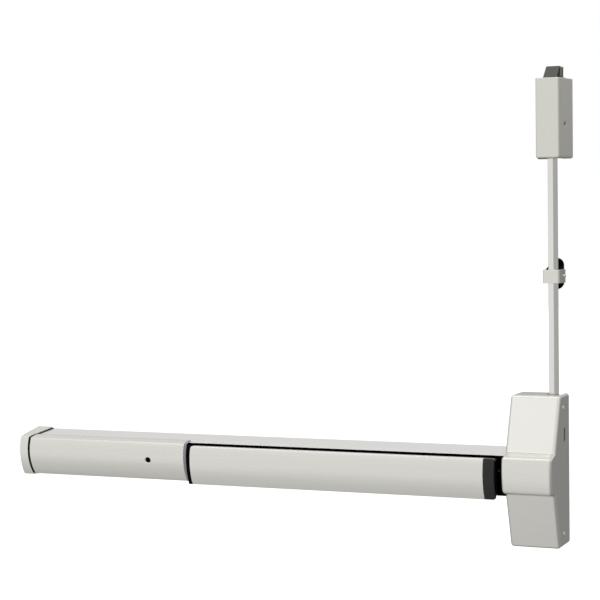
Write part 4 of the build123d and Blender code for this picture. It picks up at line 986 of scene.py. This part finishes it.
# %%
FLOOR_LEVEL = -0.42
FLOOR_SIZE = 12.0
FLOOR_GREY = "#dcdcdc"
FLOOR_GLOW = 0.6
NEAR_FLOOR = 0.7  # how bright the floor is near the door, against 1 far from it
NEAR_DISTANCE, FAR_DISTANCE = 0.2, 1.1


def add_floor():
    """The floor: lit and glowing for most rays, and the level of the cards for those that a metal mirrors."""
    low, high = -FLOOR_SIZE, FLOOR_SIZE
    mesh = bpy.data.meshes.new("floor")
    corners = [(x, y, FLOOR_LEVEL) for x, y in ((low, low), (high, low), (high, high), (low, high))]
    mesh.from_pydata(corners, [], [(0, 1, 2, 3)])
    floor = new_piece("floor", mesh)
    material = bpy.data.materials.new("pale_floor")
    material.use_nodes = True
    tree = material.node_tree
    tree.nodes.clear()
    camera_ray, gloss_ray = ray_kinds(tree)
    place = add_node(tree, "ShaderNodeTexCoord").outputs["Object"]
    split = add_node(tree, "ShaderNodeSeparateXYZ", {"Vector": place})
    reach = add_node(tree, "ShaderNodeMath", {0: split.outputs["Y"]}, operation="ABSOLUTE").outputs["Value"]
    shade = remap(tree, reach, NEAR_DISTANCE, FAR_DISTANCE, NEAR_FLOOR, 1.0)
    in_metal = add_node(tree, "ShaderNodeMath", {0: card_level(tree, split), 1: shade}, operation="MULTIPLY")
    glow = add_node(tree, "ShaderNodeMath", {0: camera_ray, 1: FLOOR_GLOW}, operation="MULTIPLY")
    lit = add_node(tree, "ShaderNodeBsdfDiffuse", {"Color": srgb(FLOOR_GREY)})
    lift = add_node(tree, "ShaderNodeEmission", {"Strength": glow.outputs["Value"]})
    pale = add_node(tree, "ShaderNodeAddShader", {0: lit.outputs["BSDF"], 1: lift.outputs["Emission"]})
    mirrored = add_node(tree, "ShaderNodeEmission", {"Strength": in_metal.outputs["Value"]})
    mix = add_node(tree, "ShaderNodeMixShader", {
        "Fac": gloss_ray, 1: pale.outputs["Shader"], 2: mirrored.outputs["Emission"],
    })
    add_node(tree, "ShaderNodeOutputMaterial", {"Surface": mix.outputs["Shader"]})
    mesh.materials.append(material)


add_floor()
print("floor at", FLOOR_LEVEL, "m")

# %% [markdown]
# ## Room and lights
# The world holds the cards with a nearly white ceiling over them, which the rail's top and the sloping faces
# of the case mirror. Two area lights add what a photographer would: a large soft one from the front left and
# a strip above the rail, which draws the bright line along the bar. View transform Standard keeps white white.

# %%
CEILING = 0.9
CEILING_START, CEILING_END = 0.05, 0.4  # the upward part of a direction
WORLD_SOFT = 0.8


def add_world():
    """The room: plain white for the camera, the cards and ceiling in gloss, and an even light elsewhere."""
    world = bpy.data.worlds.new("studio")
    bpy.context.scene.world = world
    world.use_nodes = True
    tree = world.node_tree
    tree.nodes.clear()
    direction = add_node(tree, "ShaderNodeTexCoord").outputs["Generated"]
    split = add_node(tree, "ShaderNodeSeparateXYZ", {"Vector": direction})
    ceiling = remap(tree, split.outputs["Z"], CEILING_START, CEILING_END, 0.0, CEILING)
    room = add_node(tree, "ShaderNodeMix", {
        "Factor": ceiling, 2: card_level(tree, split), 3: 1.0,
    }, data_type="FLOAT")
    camera_ray, gloss_ray = ray_kinds(tree)
    seen = add_node(tree, "ShaderNodeMath", {0: camera_ray, 1: gloss_ray}, operation="MAXIMUM")
    shown = add_node(tree, "ShaderNodeMath", {0: room.outputs[0], 1: camera_ray}, operation="MAXIMUM")
    backdrop = add_node(tree, "ShaderNodeBackground", {"Strength": shown.outputs["Value"]})
    soft = add_node(tree, "ShaderNodeBackground", {"Strength": WORLD_SOFT})
    for node in (backdrop, soft):
        node.inputs["Color"].default_value = (1, 1, 1, 1)
    mix = add_node(tree, "ShaderNodeMixShader", {
        "Fac": seen.outputs["Value"], 1: soft.outputs["Background"], 2: backdrop.outputs["Background"],
    })
    add_node(tree, "ShaderNodeOutputWorld", {"Surface": mix.outputs["Shader"]})


def area_light(name, place, target, size, energy):
    """A rectangular light at a place, aimed at a target, with its size in metres and its energy in watts."""
    data = bpy.data.lights.new(name, "AREA")
    data.shape = "RECTANGLE"
    data.size, data.size_y = size
    data.energy = energy
    light = bpy.data.objects.new(name, data)
    light.location = place
    light.rotation_euler = (Vector(target) - Vector(place)).to_track_quat("-Z", "Y").to_euler()
    bpy.context.scene.collection.objects.link(light)
    print(name, "light of", energy, "W")


add_world()
RAIL_MIDDLE = (-0.3, 0, 0)
area_light("key", place=(-1.6, -2.6, 2.2), target=RAIL_MIDDLE, size=(2.4, 1.6), energy=3.5)
area_light("strip", place=(-0.4, -0.5, 2.2), target=RAIL_MIDDLE, size=(3.0, 0.4), energy=6.0)
bpy.context.scene.view_settings.view_transform = "Standard"
